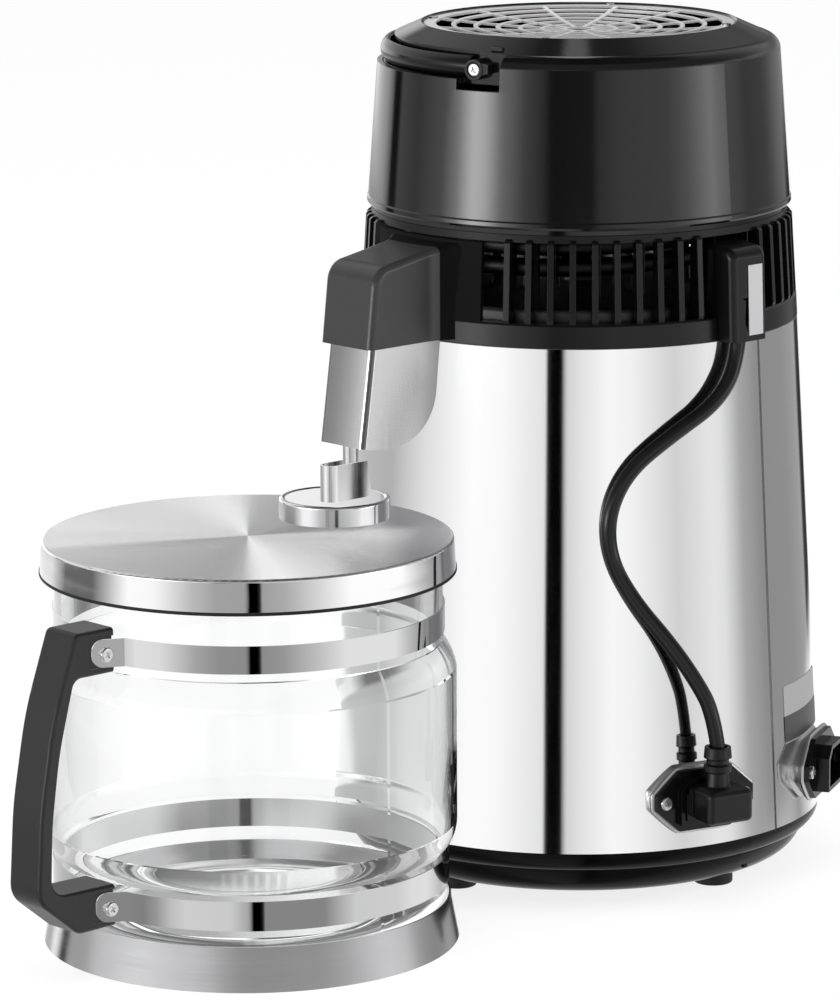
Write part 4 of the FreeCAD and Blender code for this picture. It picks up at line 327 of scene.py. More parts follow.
def shell_finish():
    steel = Finish("shell_steel")
    side, ahead, distance = steel.round_boiler()
    lean = (SHELL_FOOT_RADIUS - SHELL_HEAD_RADIUS) / (shell_high[2] - shell_low[2])
    true = steel.add("ShaderNodeCombineXYZ", None, side, ahead, lean * distance)
    true = steel.add("ShaderNodeVectorMath", {"operation": "NORMALIZE"}, true)
    mesh_normal = steel.add("ShaderNodeNewGeometry", out="Normal")
    along = steel.add("ShaderNodeVectorMath", {"operation": "DOT_PRODUCT"}, true, mesh_normal,
                      out="Value")
    facing = steel.add("ShaderNodeMix", {"data_type": "VECTOR"}, along > 0.97, mesh_normal, true)
    slow = steel.noise(9.0, (1, 1, 0.45), 1.0)
    bent = steel.add("ShaderNodeBump", None, Height=slow, Strength=1.0, Distance=0.0003,
                     Normal=facing)
    hair = steel.noise(420.0, (1, 1, 0.03), 3.0)
    angle = ahead.math("ARCTAN2", ahead, side) * (180.0 / math.pi)
    seam = (angle - SEAM_ANGLE).math("ABSOLUTE", angle - SEAM_ANGLE) < SEAM_HALF_WIDTH
    shade = steel.blend(seam, (0.86, 0.86, 0.865, 1.0), (0.30, 0.30, 0.30, 1.0))
    return steel.surface(Base_Color=shade, Metallic=1.0,
                         Roughness=0.04 + 0.04 * hair + 0.15 * seam, Normal=bent)


dress(shell_finish(), "outer_shell")

# %% [markdown]
# ## Spun steel for the lid
#
# The top of the carafe's lid was finished on a lathe.  Its fine circular grooves turn a highlight
# into bright and dark wedges that meet at the middle.  We get the grooves from a noise that only
# sees the distance from the lid's centre: it tips the surface's direction toward the centre or
# away from it.  The lid's side was buffed, so a mask made from the height keeps the grooves on top.

# %% Spun lid
GROOVE_SLOPE, GROOVES_PER_METRE = 0.7, 20000.0
LID_TOP_DEPTH = 0.0012


def spun_lid():
    lid = Finish("spun_lid")
    across = lid.add("ShaderNodeSeparateXYZ", None, lid.place())
    along = Level(lid, across.socket.node.outputs[1])
    height = Level(lid, across.socket.node.outputs[2])
    across, along = across - AXIS_X, along - CARAFE_Y
    distance = (across * across + along * along) ** 0.5
    groove = lid.add("ShaderNodeTexWhiteNoise", {"noise_dimensions": "1D"},
                     W=distance * GROOVES_PER_METRE)
    wide = lid.add("ShaderNodeTexNoise", {"noise_dimensions": "1D"}, W=distance,
                   Scale=260.0, Detail=2.0)
    top = height > (lid_high[2] - LID_TOP_DEPTH)
    tip = (groove - 0.5) * GROOVE_SLOPE * top / distance
    dish = lid.add("ShaderNodeCombineXYZ", None, across * tip, along * tip, 0.055 * (top - 1.0))
    facing = lid.add("ShaderNodeNewGeometry", out="Normal")
    facing = lid.add("ShaderNodeVectorMath", {"operation": "ADD"}, facing, dish)
    facing = lid.add("ShaderNodeVectorMath", {"operation": "NORMALIZE"}, facing)
    shade = lid.blend(wide, (0.82, 0.82, 0.83, 1.0), (0.87, 0.87, 0.875, 1.0))
    return lid.surface(Base_Color=shade, Metallic=1.0, Roughness=0.02 + 0.05 * top, Normal=facing)


spun_steel = spun_lid()
dress(spun_steel, "carafe_lid")

# %% [markdown]
# ## Satin steel
#
# The nozzle, the skirt under the carafe and the small seats are satin: a belt drew fine parallel
# lines across them.  The grain is the same trick with another stretch: a noise that is squeezed
# in one direction and pulled long in the other.

# %% Satin steel
def satin_steel(name, tint, stretch, roughness, depth=0.00001, lean=0.0, metal=1.0):
    """lean tips the mirror upward, for a wall that leans back more than its solid."""
    steel = Finish(name)
    line = steel.noise(900.0, stretch, 3.0)
    patch = steel.noise(45.0, (1, 1, 1), 2.0)
    shade = steel.tinted(patch, tint, 0.92)
    facing = steel.add("ShaderNodeNewGeometry", out="Normal")
    facing = steel.add("ShaderNodeVectorMath", {"operation": "ADD"}, facing, (0.0, 0.0, lean))
    facing = steel.add("ShaderNodeVectorMath", {"operation": "NORMALIZE"}, facing)
    skin = steel.add("ShaderNodeBump", None, Height=line, Strength=1.0, Distance=depth,
                     Normal=facing)
    return steel.surface(Base_Color=shade, Metallic=metal,
                         Roughness=roughness - 0.05 + 0.1 * line, Normal=skin)


dress(satin_steel("pipe_steel", (0.70, 0.70, 0.71), (1, 1, 0.02), 0.18, 0.000004), "outlet_pipe")
dress(satin_steel("skirt_steel", (0.58, 0.58, 0.59), (0.03, 0.03, 1), 0.16, 0.000004, 0.11),
      "carafe_base")
dress(satin_steel("seat_steel", (0.66, 0.66, 0.67), (1, 1, 1), 0.42, 0.0000005),
      "fan_socket_seat", "inlet_seat")
# The tank lid and the motor bracket sit in the dark under the shroud and the guard; their
# near-black tint is painted shade.
dress(satin_steel("tank_steel", (0.07, 0.07, 0.072), (0.04, 0.04, 1), 0.4), "tank_lid",
      "motor_bracket")
dress(satin_steel("pot_steel", (0.42, 0.42, 0.43), (0.04, 0.04, 1), 0.4), "boiler_pot")
dress(satin_steel("screw_steel", (0.70, 0.70, 0.71), (1, 1, 1), 0.22), "base_screws",
      "guard_screws", "tie_bolt", "handle_screws", "pivot_screws", "fan_socket_screws",
      "inlet_screws")
# The condenser coil, its fins and the heater plate sit inside the vents; their near-black tints are
# painted shade.
dress(satin_steel("coil_steel", (0.035, 0.035, 0.036), (1, 1, 1), 0.45), "condenser_coil")
dress(satin_steel("fin_aluminium", (0.04, 0.04, 0.042), (1, 1, 0.05), 0.5), "condenser_fins",
      "heater_plate")
dress(satin_steel("guard_steel", (0.84, 0.84, 0.84), (1, 1, 1), 0.3, 0.000001, metal=0.4),
      "fan_guard")
dress(satin_steel("pin_plating", (0.74, 0.68, 0.52), (1, 1, 1), 0.2), "inlet_pins")

# %% [markdown]
# ## The nozzle
#
# The nozzle is folded from brushed sheet.  Its front face carries painted light: a painted
# highlight beside the rounded fold that fades to painted shade at the far edge.  The fold's
# outer side is painted with a dark line, a painted reflection.  Which face a spot is on comes
# from the direction the face looks.

# %% Nozzle
def nozzle_finish():
    steel = Finish("nozzle_steel")
    low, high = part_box("nozzle_cup")
    line = steel.noise(900.0, (1, 1, 0.02), 3.0)
    facing = steel.add("ShaderNodeNewGeometry", out="Normal")
    side = steel.add("ShaderNodeSeparateXYZ", None, facing)
    front = 0.0 - Level(steel, side.socket.node.outputs[1])
    across = steel.add("ShaderNodeSeparateXYZ", None, steel.place()) - low[0]
    across = across / (high[0] - low[0])
    # Painted light: the front face runs from painted shade at one edge to a painted highlight by
    # the fold.
    painted_light_tone = 0.80 - (0.53 - 0.50 * across * across) * (front > 0.8)
    # Painted reflection: the rounded fold is painted dark.
    painted_dark_fold = (front < 0.93) * (front > 0.2) * (side > 0.2)
    painted_light_tone = painted_light_tone * (1.0 - 0.8 * painted_dark_fold)
    shade = steel.blend(painted_light_tone, (0.0, 0.0, 0.0, 1.0), (1.0, 1.0, 1.0, 1.0))
    return steel.surface(Base_Color=shade, Metallic=1.0, Roughness=0.17 + 0.1 * line,
                         Normal=steel.relief(line, 0.000004))


dress(nozzle_finish(), "nozzle_cup")

# %% [markdown]
# ## Moulded plastics
#
# The plastics differ in colour, gloss and grain.  The shroud is glossy black with the soft
# orange-peel of a polished mould.  The vents, the base and the plugs are satin black with a fine
# spark-eroded grain, and the spout and the grip are dark grey.  The Bevel node rounds the light
# over moulded edges, which no mould leaves razor sharp.

# %% Plastics
def moulded(name, tint, roughness, grain_size, grain_depth, edge=0.0004, gloss=0.5,
            painted_shade_reach=0.0):
    """The last argument is the distance from the boiler's axis within which it is a dull,
    near-black painted shade.
    """
    plastic = Finish(name)
    grain = plastic.noise(1.0 / grain_size, (1, 1, 1), 2.0)
    cloud = plastic.noise(25.0, (1, 1, 1), 3.0)
    edge_normal = plastic.add("ShaderNodeBevel", {"samples": 4}, Radius=edge)
    skin = plastic.add("ShaderNodeBump", None, Height=grain, Strength=1.0, Distance=grain_depth,
                       Normal=edge_normal)
    shade = plastic.tinted(cloud, tint, 0.85, 1.15)
    if not painted_shade_reach:
        return plastic.surface(Base_Color=shade, Roughness=roughness - 0.03 + 0.06 * cloud,
                               Specular_IOR_Level=gloss, Normal=skin)
    open_skin = plastic.add("ShaderNodeBsdfPrincipled", None, Base_Color=shade,
                            Roughness=roughness - 0.03 + 0.06 * cloud,
                            Specular_IOR_Level=gloss, Normal=skin)
    # Inside that distance the plastic becomes a dull near-black: painted shade where the shroud
    # overhangs the spout's root.
    painted_shade_skin = plastic.add("ShaderNodeBsdfPrincipled", None, Base_Color=(0.003, 0.003, 0.003, 1.0),
                       Roughness=0.6, Specular_IOR_Level=0.1, Normal=skin)
    distance = plastic.round_boiler()[2]
    plastic.add("ShaderNodeOutputMaterial", None, plastic.add(
        "ShaderNodeMixShader", None, distance < painted_shade_reach, open_skin, painted_shade_skin))
    return plastic.owner


dress(moulded("shroud_gloss", (0.0024, 0.0024, 0.0026), 0.10, 0.004, 0.00001), "fan_shroud",
      "shoulder_cap")
dress(moulded("handle_black", (0.003, 0.003, 0.0033), 0.20, 0.0009, 0.00001, gloss=0.35),
      "carry_handle")
dress(moulded("vent_black", (0.003, 0.003, 0.0033), 0.26, 0.0006, 0.000012, gloss=0.32),
      "vent_band", "cable_cover")
dress(moulded("inner_black", (0.002, 0.002, 0.0022), 0.45, 0.0006, 0.00001, gloss=0.15),
      "bottom_cover", "fan_rotor", "button_bezel")
dress(moulded("base_black", (0.0012, 0.0012, 0.0014), 0.17, 0.0008, 0.00001, gloss=0.12),
      "base_ring")
dress(moulded("spout_grey", (0.030, 0.030, 0.031), 0.27, 0.0005, 0.00001, 0.0006, 0.5,
              painted_shade_reach=0.1036), "spout_housing")
dress(moulded("grip_grey", (0.014, 0.014, 0.015), 0.36, 0.0005, 0.00002, 0.0006, 0.4),
      "carafe_handle")
dress(moulded("socket_black", (0.003, 0.003, 0.0033), 0.2, 0.0007, 0.00001, 0.0003, 0.3),
      "fan_socket", "power_inlet", "thermal_cutout")
dress(moulded("plug_black", (0.004, 0.004, 0.0043), 0.32, 0.0005, 0.00002, 0.0006, 0.35),
      "fan_plug")
# The motor's near-black is black paint, darkened further as painted shade under the guard.
dress(moulded("motor_paint", (0.003, 0.003, 0.0032), 0.6, 0.0008, 0.000002, gloss=0.08),
      "fan_motor")
dress(moulded("button_red", (0.22, 0.012, 0.012), 0.2, 0.002, 0.00001), "start_button")

# %% [markdown]
# ## Rubber
#
# Feet, seals and the lead's jacket are rubber: darker and drier than the plastics, with a pebbly
# grain and a slight dusty cast.

# %% Rubber
def rubber(name, tint, roughness):
    soft = Finish(name)
    pebble = soft.noise(2200.0, (1, 1, 1), 1.0)
    dust = soft.noise(60.0, (1, 1, 1), 4.0)
    shade = soft.blend(dust, tuple(tint) + (1.0,), tuple(x + 0.003 for x in tint) + (1.0,))
    return soft.surface(Base_Color=shade, Roughness=roughness + 0.1 * dust,
                        Specular_IOR_Level=0.35,
                        Normal=soft.relief(pebble, 0.00002))


seal_rubber = rubber("seal_rubber", (0.004, 0.004, 0.004), 0.5)
dress(seal_rubber, "rubber_feet", "lid_seal", "lid_gasket")
jacket = rubber("lead_jacket", (0.003, 0.003, 0.0032), 0.16)
fan_lead.data.materials.append(jacket)
dress(jacket, "fan_cord")

# %% [markdown]
# ## Glass
#
# The carafe is clear glass with real thickness, so light bends twice in its wall and the rims and
# the thick floor draw themselves as dark and bright lines.  Its colour is nearly clear where we
# look straight through and painted grey where the wall is seen edge-on, a painted shade for its
# dark edges, and blowing left a faint ripple.

# %% Glass
def clear_glass():
    glass = Finish("carafe_clear")
    ripple = glass.noise(14.0, (1, 1, 0.4), 1.0)
    # Painted shade: the colour greys towards edge-on views, standing in for the glass's dark edges.
    rim = glass.add("ShaderNodeLayerWeight", None, 0.5, out="Facing")
    shade = glass.blend(rim ** 6.0, (0.99, 0.993, 0.992, 1.0), (0.55, 0.56, 0.56, 1.0))
    return glass.surface(Base_Color=shade, Roughness=0.0, IOR=1.48,
                         Transmission_Weight=1.0, Normal=glass.relief(ripple, 0.00012))


dress(clear_glass(), "carafe_glass")

# %% [markdown]
# ## Bare plates
#
# Two plates carry print on the real machine.  Ours stay blank: a small satin plate on the cable
# cover, and a rating panel of pale film with a dark lower part over the mains inlet.  Each is a
# thin patch that follows what it is stuck to, so we build it as a grid of points on that surface
# and give it thickness.

# %% Plates
def patch_mesh(name, columns, rows, spot, thickness):
    """A thin closed sheet; spot(u, v, lift) gives a point for 0 to 1 across and up."""
    mesh = bmesh.new()
    layers = []
    for lift in (0.0, thickness):
        layers.append([[mesh.verts.new(spot(i / columns, j / rows, lift))
                        for i in range(columns + 1)] for j in range(rows + 1)])
    low, high = layers
    for j in range(rows):
        for i in range(columns):
            mesh.faces.new((high[j][i], high[j][i + 1], high[j + 1][i + 1], high[j + 1][i]))
            mesh.faces.new((low[j][i], low[j + 1][i], low[j + 1][i + 1], low[j][i + 1]))
    edge = ([(0, i) for i in range(columns)] + [(j, columns) for j in range(rows)]
            + [(rows, i) for i in range(columns, 0, -1)] + [(j, 0) for j in range(rows, 0, -1)])
    for here, after in zip(edge, edge[1:] + edge[:1]):
        mesh.faces.new((low[here[0]][here[1]], low[after[0]][after[1]],
                        high[after[0]][after[1]], high[here[0]][here[1]]))
    bmesh.ops.recalc_face_normals(mesh, faces=mesh.faces)
    data = bpy.data.meshes.new(name)
    mesh.to_mesh(data)
    mesh.free()
    return data


def on_cover(u, v, lift):
    """A rounded plate on the cable cover's sloping front."""
    height = 0.2535 + 0.0309 * v
    front = AXIS_X + 0.1074 - 0.0012 * (height - 0.2509) / 0.0365
    return Vector((front + lift, AXIS_Y + 0.0029 + 0.0088 * (u - 0.5), height))


cover_plate = new_piece("cover_plate", patch_mesh("cover_plate", 4, 12, on_cover, 0.0004))
cover_plate.data.materials.append(
    satin_steel("plate_steel", (0.66, 0.66, 0.67), (0.05, 0.05, 1), 0.3))
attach(cover_plate, "head")


def on_shell(first, last, low, high):
    def spot(u, v, lift):
        height = low + (high - low) * v
        return around_boiler(first + (last - first) * u, shell_radius(height) + lift, height)
    return spot


def film(name, tint, roughness):
    sheet = Finish(name)
    speck = sheet.noise(500.0, (1, 1, 1), 2.0)
    shade = sheet.tinted(speck, tint, 0.95)
    return sheet.surface(Base_Color=shade, Roughness=roughness + 0.05 * speck)


for name, low, high, tint, lift in (
        ("rating_panel", 0.0642, 0.0903, (0.34, 0.34, 0.345), 0.0002),
        ("rating_panel_dark", 0.0648, 0.0766, (0.05, 0.05, 0.052), 0.00035)):
    panel = new_piece(name, patch_mesh(name, 24, 4, on_shell(14.1, 38.0, low, high), lift))
    panel.data.materials.append(film(name + "_film", tint, 0.35))
    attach(panel, "base")
print("two bare plates are on")

# %% [markdown]
# ## Seats of the two sockets
#
# Each socket stands on a pressed steel seat: a flat six-sided rim that necks in behind and flares
# out where it meets the shell.  The solid is a plain stepped block, so we replace it.  The outline
# is a long hexagon whose corners are cut again and again until they are round.  Rows of that
# outline, each with its own margin and depth, go from the rim to the shell and back inside, so the
# seat is one closed ring.  The last rows find their depth on the shell's cone.

# %% Seats
FLANGE_HALF, FLANGE_TALL, FLANGE_FLAT, FLANGE_TIP = 0.0245, 0.0137, 0.0130, 0.0035
SOCKET_HEIGHT = 0.0503
FAN_SOCKET_ANGLE, INLET_ANGLE = -14.9, 28.2


def seat_outline(margin, ease):
    """The flange's hexagon, grown by a margin and rounded, in (sideways, height)."""
    half, tall = FLANGE_HALF + margin, FLANGE_TALL + margin
    flat, tip = FLANGE_FLAT + 0.4 * margin, FLANGE_TIP + 0.4 * margin
    points = [(half, -tip), (half, tip), (flat, tall), (-flat, tall), (-half, tip),
              (-half, -tip), (-flat, -tall), (flat, -tall)]
    for part in (ease, 0.25, 0.25, 0.25):
        cut = []
        for (x, y), (u, v) in zip(points, points[1:] + points[:1]):
            cut += [(x + (u - x) * part, y + (v - y) * part),
                    (u + (x - u) * part, v + (y - v) * part)]
        points = cut
    return points


def seat_mesh(name, angle, face):
    rows = ((-0.0030, 0.08, face, 0), (0.0010, 0.08, face, 0), (0.0015, 0.08, face - 0.0002, 0),
            (0.0017, 0.08, face - 0.0007, 0), (0.0016, 0.09, face - 0.0014, 0),
            (0.0008, 0.10, face - 0.0022, 0), (0.0000, 0.11, face - 0.0032, 0),
            (-0.0004, 0.13, 0.0017, 1), (-0.0002, 0.15, 0.0011, 1), (0.0005, 0.17, 0.0006, 1),
            (0.0011, 0.18, 0.0003, 1), (0.0012, 0.18, -0.0008, 1), (-0.0030, 0.08, -0.0008, 1))
    mesh = bmesh.new()
    loops = []
    for margin, ease, depth, from_cone in rows:
        loop = []
        for across, rise in seat_outline(margin, ease):
            height = SOCKET_HEIGHT + rise
            if from_cone:
                radius = shell_radius(height)
                out = math.sqrt(radius * radius - across * across) + depth
                out = min(out, face - 0.0034)
            else:
                out = depth
            turn = math.radians(angle)
            spot = Vector((out * math.cos(turn) - across * math.sin(turn),
                           out * math.sin(turn) + across * math.cos(turn), height))
            loop.append(mesh.verts.new(spot + Vector((AXIS_X, AXIS_Y, 0.0))))
        loops.append(loop)
    for first, second in zip(loops, loops[1:] + loops[:1]):
        for i in range(len(first)):
            mesh.faces.new((first[i - 1], first[i], second[i], second[i - 1]))
    bmesh.ops.recalc_face_normals(mesh, faces=mesh.faces)
    for part in mesh.faces:
        part.smooth = True
    data = bpy.data.meshes.new(name)
    mesh.to_mesh(data)
    mesh.free()
    return data


seat_steel = bpy.data.materials["seat_steel"]
for name, node, angle, face in (
        ("fan_seat", "fan_socket_seat", FAN_SOCKET_ANGLE, 0.11098),
        ("mains_seat", "inlet_seat", INLET_ANGLE, 0.11358)):
    seat = new_piece(name, seat_mesh(name, angle, face))
    seat.data.materials.append(seat_steel)
    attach(seat, "base")
    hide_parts(node)
print("both seats are pressed")

# %% [markdown]
# ## Crossed screws
#
# The solids have plain round heads.  A cross recess is what makes a screw read as a screw.  We
# copy the solids' mesh, find each screw in it as an island of joined corners, and cut two crossed
# bars with tapering tips into the end that faces out.  A Boolean does the cutting.

# %% Find the screws
def islands(mesh):
    """Groups of corners that are joined by edges."""
    left, groups = set(mesh.verts), []
    while left:
        group, edge = set(), [left.pop()]
        while edge:
            corner = edge.pop()
            group.add(corner)
            for link in corner.link_edges:
                other = link.other_vert(corner)
                if other in left:
                    left.remove(other)
                    edge.append(other)
        groups.append([vertex.co.copy() for vertex in group])
    return groups


def outer_end(corners, outward):
    """The middle of the end that lies furthest out."""
    reach = max(corner.dot(outward) for corner in corners)
    end = [corner for corner in corners if corner.dot(outward) > reach - 0.0001]
    return sum(end, Vector()) / len(end)


probe = bmesh.new()
probe.from_mesh(NODES["guard_screws"].data)
bmesh.ops.remove_doubles(probe, verts=probe.verts, dist=1e-6)
print("the guard is held by", len(islands(probe)), "screws")
probe.free()

# %% [markdown]
# ### Cutting the cross
#
# The bars stand on the head's face and reach a little way in.  Their lower ends are pinched, as a
# driver's tip is.

# %% Cut the screws
def cross_bars(cutter, place, outward, radius, depth):
    turn = Vector(outward).to_track_quat("Z", "Y").to_matrix().to_4x4()
    for quarter in (0.5, 0.5 + math.pi / 2):
        bar = bmesh.ops.create_cube(cutter, size=1.0)["verts"]
        for vertex in bar:
            pinch = 0.4 if vertex.co.z < 0 else 1.0
            vertex.co = Vector((vertex.co.x * radius * 1.35 * pinch,
                                vertex.co.y * radius * 0.34 * pinch, vertex.co.z * depth * 2))
        bmesh.ops.transform(cutter, verts=bar, matrix=(
            Matrix.Translation(place) @ turn @ Matrix.Rotation(quarter, 4, "Z")))


def crossed_screws(name, node, body, radius, outward_of):
    copy = bmesh.new()
    copy.from_mesh(NODES[node].data)
    bmesh.ops.remove_doubles(copy, verts=copy.verts, dist=1e-6)
    cutter = bmesh.new()
    count = 0
    for corners in islands(copy):
        outward = outward_of(sum(corners, Vector()) / len(corners)).normalized()
        cross_bars(cutter, outer_end(corners, outward), outward, radius, 0.0011)
        count += 1
    meshes = []
    for source, label in ((copy, name), (cutter, name + "_cutter")):
        data = bpy.data.meshes.new(label)
        source.to_mesh(data)
        source.free()
        meshes.append(new_piece(label, data))
    blank, tool = meshes
    cut = blank.modifiers.new("cross", "BOOLEAN")
    cut.operation, cut.object, cut.solver, cut.use_self = "DIFFERENCE", tool, "EXACT", True
    bpy.context.view_layer.update()
    done = bpy.data.meshes.new_from_object(
        blank.evaluated_get(bpy.context.evaluated_depsgraph_get()))
    blank.modifiers.clear()
    blank.data = done
    bpy.data.objects.remove(tool)
    done.materials.clear()
    done.materials.append(bpy.data.materials["screw_steel"])
    blank.visible_glossy = body != "carafe"
    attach(blank, body)
    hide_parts(node)
    print(name, "has", count, "screws and", len(done.polygons), "faces")


def from_axis(middle):
    return Vector((middle.x - AXIS_X, middle.y - AXIS_Y, 0.0))


def facing_angle(angle):
    return lambda middle: Vector((math.cos(math.radians(angle)), math.sin(math.radians(angle)), 0))


crossed_screws("fan_socket_crossed", "fan_socket_screws", "base", 0.0030,
               facing_angle(FAN_SOCKET_ANGLE))
crossed_screws("inlet_crossed", "inlet_screws", "base", 0.0030,
               facing_angle(INLET_ANGLE))
crossed_screws("pivot_crossed", "pivot_screws", "head", 0.0030, from_axis)
crossed_screws("handle_crossed", "handle_screws", "carafe", 0.0032,
               facing_angle(0.0))

# %% [markdown]
# ## The studio
#
# Polished steel shows nothing but its surroundings, so the surroundings are the picture.  The
# world is white to the camera.  For reflections it is a round room hung with soft panels: each
# panel is a stop on a ring that runs once round the room.  The walls of this machine lean by
# different amounts, so they mirror different heights of the room.  From the floor up, seven rings
# serve the carafe's skirt, the straps and the lid's side, the shell, the shroud, and three heights
# of flat or nearly flat tops.  That lets us light steel and black plastic each in its own way, as
# a studio does with panels and black flags at several heights.

# %% Which way a ray looks
CAMERA_ANGLE = math.degrees(CAMERA_SIDE) - 90.0

world = bpy.data.worlds.new("studio_world")
bpy.context.scene.world = world
room = Finish("studio_world", world)
look = room.add("ShaderNodeTexCoord", out="Generated")
spun = room.add("ShaderNodeVectorRotate", {"rotation_type": "Z_AXIS"}, look,
                Angle=-math.radians(CAMERA_ANGLE))
toward = room.add("ShaderNodeSeparateXYZ", None, spun)
aside = Level(room, toward.socket.node.outputs[1])
up = Level(room, toward.socket.node.outputs[2])
bearing = aside.math("ARCTAN2", aside, toward) / (2 * math.pi) + 0.5
print("a bearing of 0.5 looks back at the camera")

# %% [markdown]
# ### The rings
#
# A ring is a colour ramp over the bearing.  Its stops are written in degrees to the camera's right
# and in brightness, where 1 is white card and 10 is a lit soft box.  A ramp only holds values up to
# 1, so a ring is stored as a share of its brightest panel and multiplied back.

# %% Rings of panels
def ring(*panels):
    peak = max(level for _, level in panels)
    stops = [((degrees + 180.0) / 360.0, (level / peak,) * 3 + (1.0,))
             for degrees, level in panels]
    return room.add("ShaderNodeValToRGB", {"stops": stops}, bearing) * peak


low_ring = ring((-180, 1.15), (-136, 0.95), (-118, 0.15), (-92, 0.15), (-80, 0.55),
                (-66, 1.15), (-50, 1.1), (-28, 0.58), (-14, 0.42), (2.6, 0.4), (3.2, 0.0),
                (9.8, 0.0), (10.4, 0.4), (24, 0.48), (44, 0.8), (62, 1.15), (98, 1.15),
                (112, 0.75), (130, 0.35), (150, 1.0), (180, 1.15))
foot_ring = ring((-180, 0.9), (-84, 0.4), (-62, 0.33), (-53, 0.48), (-44, 0.8), (-35, 0.95),
                 (-9, 0.92), (-2, 0.7), (2.6, 0.55), (3.2, 0.0), (9.8, 0.0), (10.4, 0.36),
                 (46, 0.36), (56, 0.64), (66, 0.92), (97, 0.95), (110, 1.1), (126, 1.12),
                 (146, 0.7), (180, 0.9))
shell_ring = ring((-180, 0.7), (-140, 0.55), (-110, 0.5), (-84, 0.85), (-55, 1.12), (-40, 1.1),
                  (-16.6, 0.88), (-16.1, 0.0), (-7.4, 0.0), (-6.8, 0.72), (2, 0.9), (16, 1.08),
                  (27, 1.02), (50, 0.73), (70, 0.9), (77, 0.85), (90, 0.43), (104, 0.3),
                  (130, 0.31), (146, 0.36), (153, 0.4), (157, 0.04), (168, 0.04), (172, 0.9),
                  (180, 0.7))
shroud_ring = ring((-180, 0.12), (-178.7, 0.12), (-177.6, 0.6), (-170, 0.8), (-167, 1.6),
                   (-136, 1.6), (-129, 0.9), (-127, 0.02), (-120, 0.02), (-118, 0.6),
                   (-100, 0.5), (-80, 1.3), (-70, 3.8), (-60, 10.4), (-53, 9.0), (-43, 3.2),
                   (-30, 1.1), (-19, 0.45), (-15.5, 0.1), (7, 0.12), (11, 0.55), (25, 0.9),
                   (50, 1.05), (62, 1.8), (78, 3.6), (92, 1.1), (106, 0.5), (125, 0.4),
                   (140, 0.55), (170, 0.4), (176, 0.12), (180, 0.12))
back_wall = ring((-180, 0.2), (-178.7, 0.24), (-177.8, 1.0), (-150, 1.15), (-90, 0.9), (-60, 0.97),
                 (-42, 1.2), (-27, 1.42), (-20, 1.36), (-12, 1.08), (-4, 0.84), (0, 0.78),
                 (30, 0.7), (42, 0.62), (56, 0.7), (70, 0.85), (84, 0.93), (120, 0.94),
                 (150, 0.4), (172, 0.18), (180, 0.2))
ceiling = ring((-180, 1.4), (-177.2, 1.4), (-176.0, 0.1), (-171, 0.1), (-160, 0.6), (-145, 0.9),
               (-110, 0.8), (-90, 0.3), (90, 0.25), (140, 0.6), (158, 0.5), (169, 0.12),
               (177.5, 0.12), (178.6, 1.4), (180, 1.4))
zenith = ring((-180, 0.03), (-60, 0.1), (0, 0.05), (70, 0.08), (180, 0.03))
print("seven rings hang in the room")

# %% [markdown]
# ### One room out of seven rings
#
# `above` is a soft step at a height.  Heights are sines, because that is what the third component
# of a direction is.  The line between shell and shroud dips at the sides, because a leaning wall
# that we see edge-on mirrors lower than one that faces us.

# %% The room
def above(edge, soft):
    return room.add("ShaderNodeMath", {"operation": "ADD", "use_clamp": True},
                    (up - edge) / soft, 0.5)


turned_away = 1.0 - toward
panels = foot_ring + (low_ring - foot_ring) * above(-0.255, 0.012)
panels = panels + (shell_ring - panels) * above(-0.195 - 0.008 * turned_away, 0.012)
panels = panels + (shroud_ring - panels) * above(-0.037 - 0.040 * turned_away, 0.02)
panels = panels + (back_wall - panels) * above(0.10, 0.06)
panels = panels + (ceiling - panels) * above(0.28, 0.07)
panels = panels + (zenith - panels) * above(0.84, 0.1)
path = room.add("ShaderNodeLightPath")
rays = path.socket.node.outputs
camera_ray = Level(room, rays["Is Camera Ray"])
shiny_ray = Level(room, rays["Is Glossy Ray"])
clear_ray = Level(room, rays["Is Transmission Ray"])
mirrored = room.add("ShaderNodeBackground", None, (1.0, 1.0, 1.0, 1.0), panels)
plain = room.add("ShaderNodeBackground", None, (1.0, 1.0, 1.0, 1.0), 0.62)
white = room.add("ShaderNodeBackground", None, (1.0, 1.0, 1.0, 1.0), 1.0)
lit = room.add("ShaderNodeMixShader", None, shiny_ray, plain, mirrored)
shown = room.add("ShaderNodeMixShader", None, camera_ray + clear_ray, lit, white)
room.add("ShaderNodeOutputWorld", None, shown)
print("the world has", len(room.tree.nodes), "nodes")

# %% [markdown]
# ## Lamps and floor
#
# The room lights metal; three soft lamps light what isn't a mirror, two tall ones at the sides and
# a wide one overhead.  They are kept out of reflections, where the panels already do that work.
# The carafe, the spout, the nozzle and the shell are kept out of mirror rays too, so none of them
# shows in another's steel.  That is a liberty: real steel would show them.

# %% Lamps
def toward_room(degrees, distance, height):
    """A place counted from the camera's direction, to its right, round the boiler."""
    return around_boiler(CAMERA_ANGLE + degrees, distance, height)


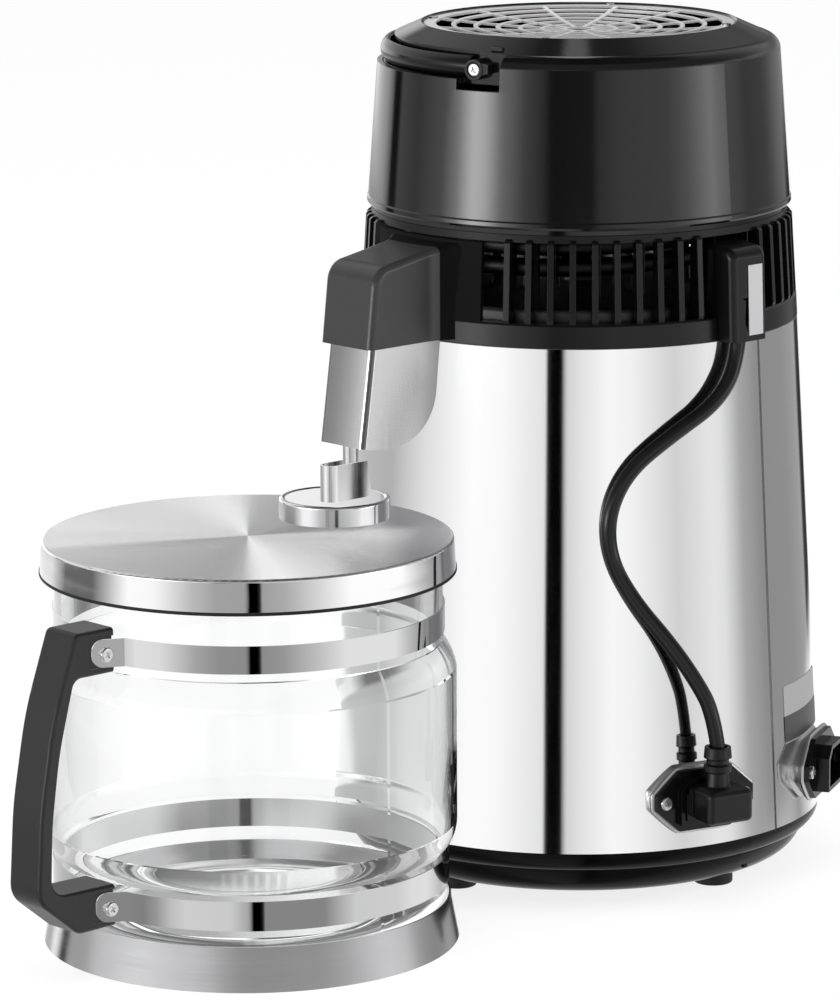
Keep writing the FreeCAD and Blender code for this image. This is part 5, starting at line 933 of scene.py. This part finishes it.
def soft_lamp(name, degrees, distance, height, width, tall, watts):
    light = bpy.data.lights.new(name, "AREA")
    light.shape, light.size, light.size_y, light.energy = "RECTANGLE", width, tall, watts
    lamp = bpy.data.objects.new(name, light)
    bpy.context.scene.collection.objects.link(lamp)
    lamp.location = toward_room(degrees, distance, height)
    aim = Vector((AXIS_X, 0.0, 0.18)) - lamp.location
    lamp.rotation_euler = aim.to_track_quat("-Z", "Y").to_euler()
    lamp.visible_glossy = False


soft_lamp("left_strip", -59, 1.7, 0.55, 0.34, 1.6, 8.0)
soft_lamp("right_strip", 78, 1.7, 0.55, 0.34, 1.6, 14.0)
soft_lamp("top_panel", -20, 0.9, 1.9, 1.4, 1.4, 12.0)
for name in ("carafe_glass", "carafe_base", "upper_strap", "lower_strap", "carafe_handle",
             "handle_screws", "carafe_lid", "lid_gasket", "drip_cup", "drip_guide", "nozzle_cup",
             "outlet_pipe", "spout_housing", "outer_shell"):
    NODES[name].visible_glossy = False
print("three lamps are lit")

# %% [markdown]
# ## Floor
#
# The floor is white paper.  Nearly three quarters of its white is its own glow and the rest is
# light that falls on it, so it stays white to the edge of the picture and still keeps a soft
# shadow under the machine.

# %% Floor
floor = new_piece("studio_floor", bpy.data.meshes.new("studio_floor"))
ground = bmesh.new()
ground.faces.new([ground.verts.new((x, y, 0.0)) for x, y in ((-6, -6), (6, -6), (6, 6), (-6, 6))])
ground.to_mesh(floor.data)
ground.free()
paper = Finish("floor_paper")
matt = paper.add("ShaderNodeBsdfDiffuse", None, (0.9, 0.9, 0.9, 1.0))
glow = paper.add("ShaderNodeEmission", None, (1.0, 1.0, 1.0, 1.0), 1.14)
seen = paper.add("ShaderNodeMixShader", None, 0.72, matt, glow)
paper.add("ShaderNodeOutputMaterial", None, seen)
floor.data.materials.append(paper.owner)
floor.visible_glossy = False
print("the floor is laid")

# %% [markdown]
# ## Colour management
#
# Last we set the colour view to Standard.

# %% Colour management
bpy.context.scene.view_settings.view_transform = "Standard"
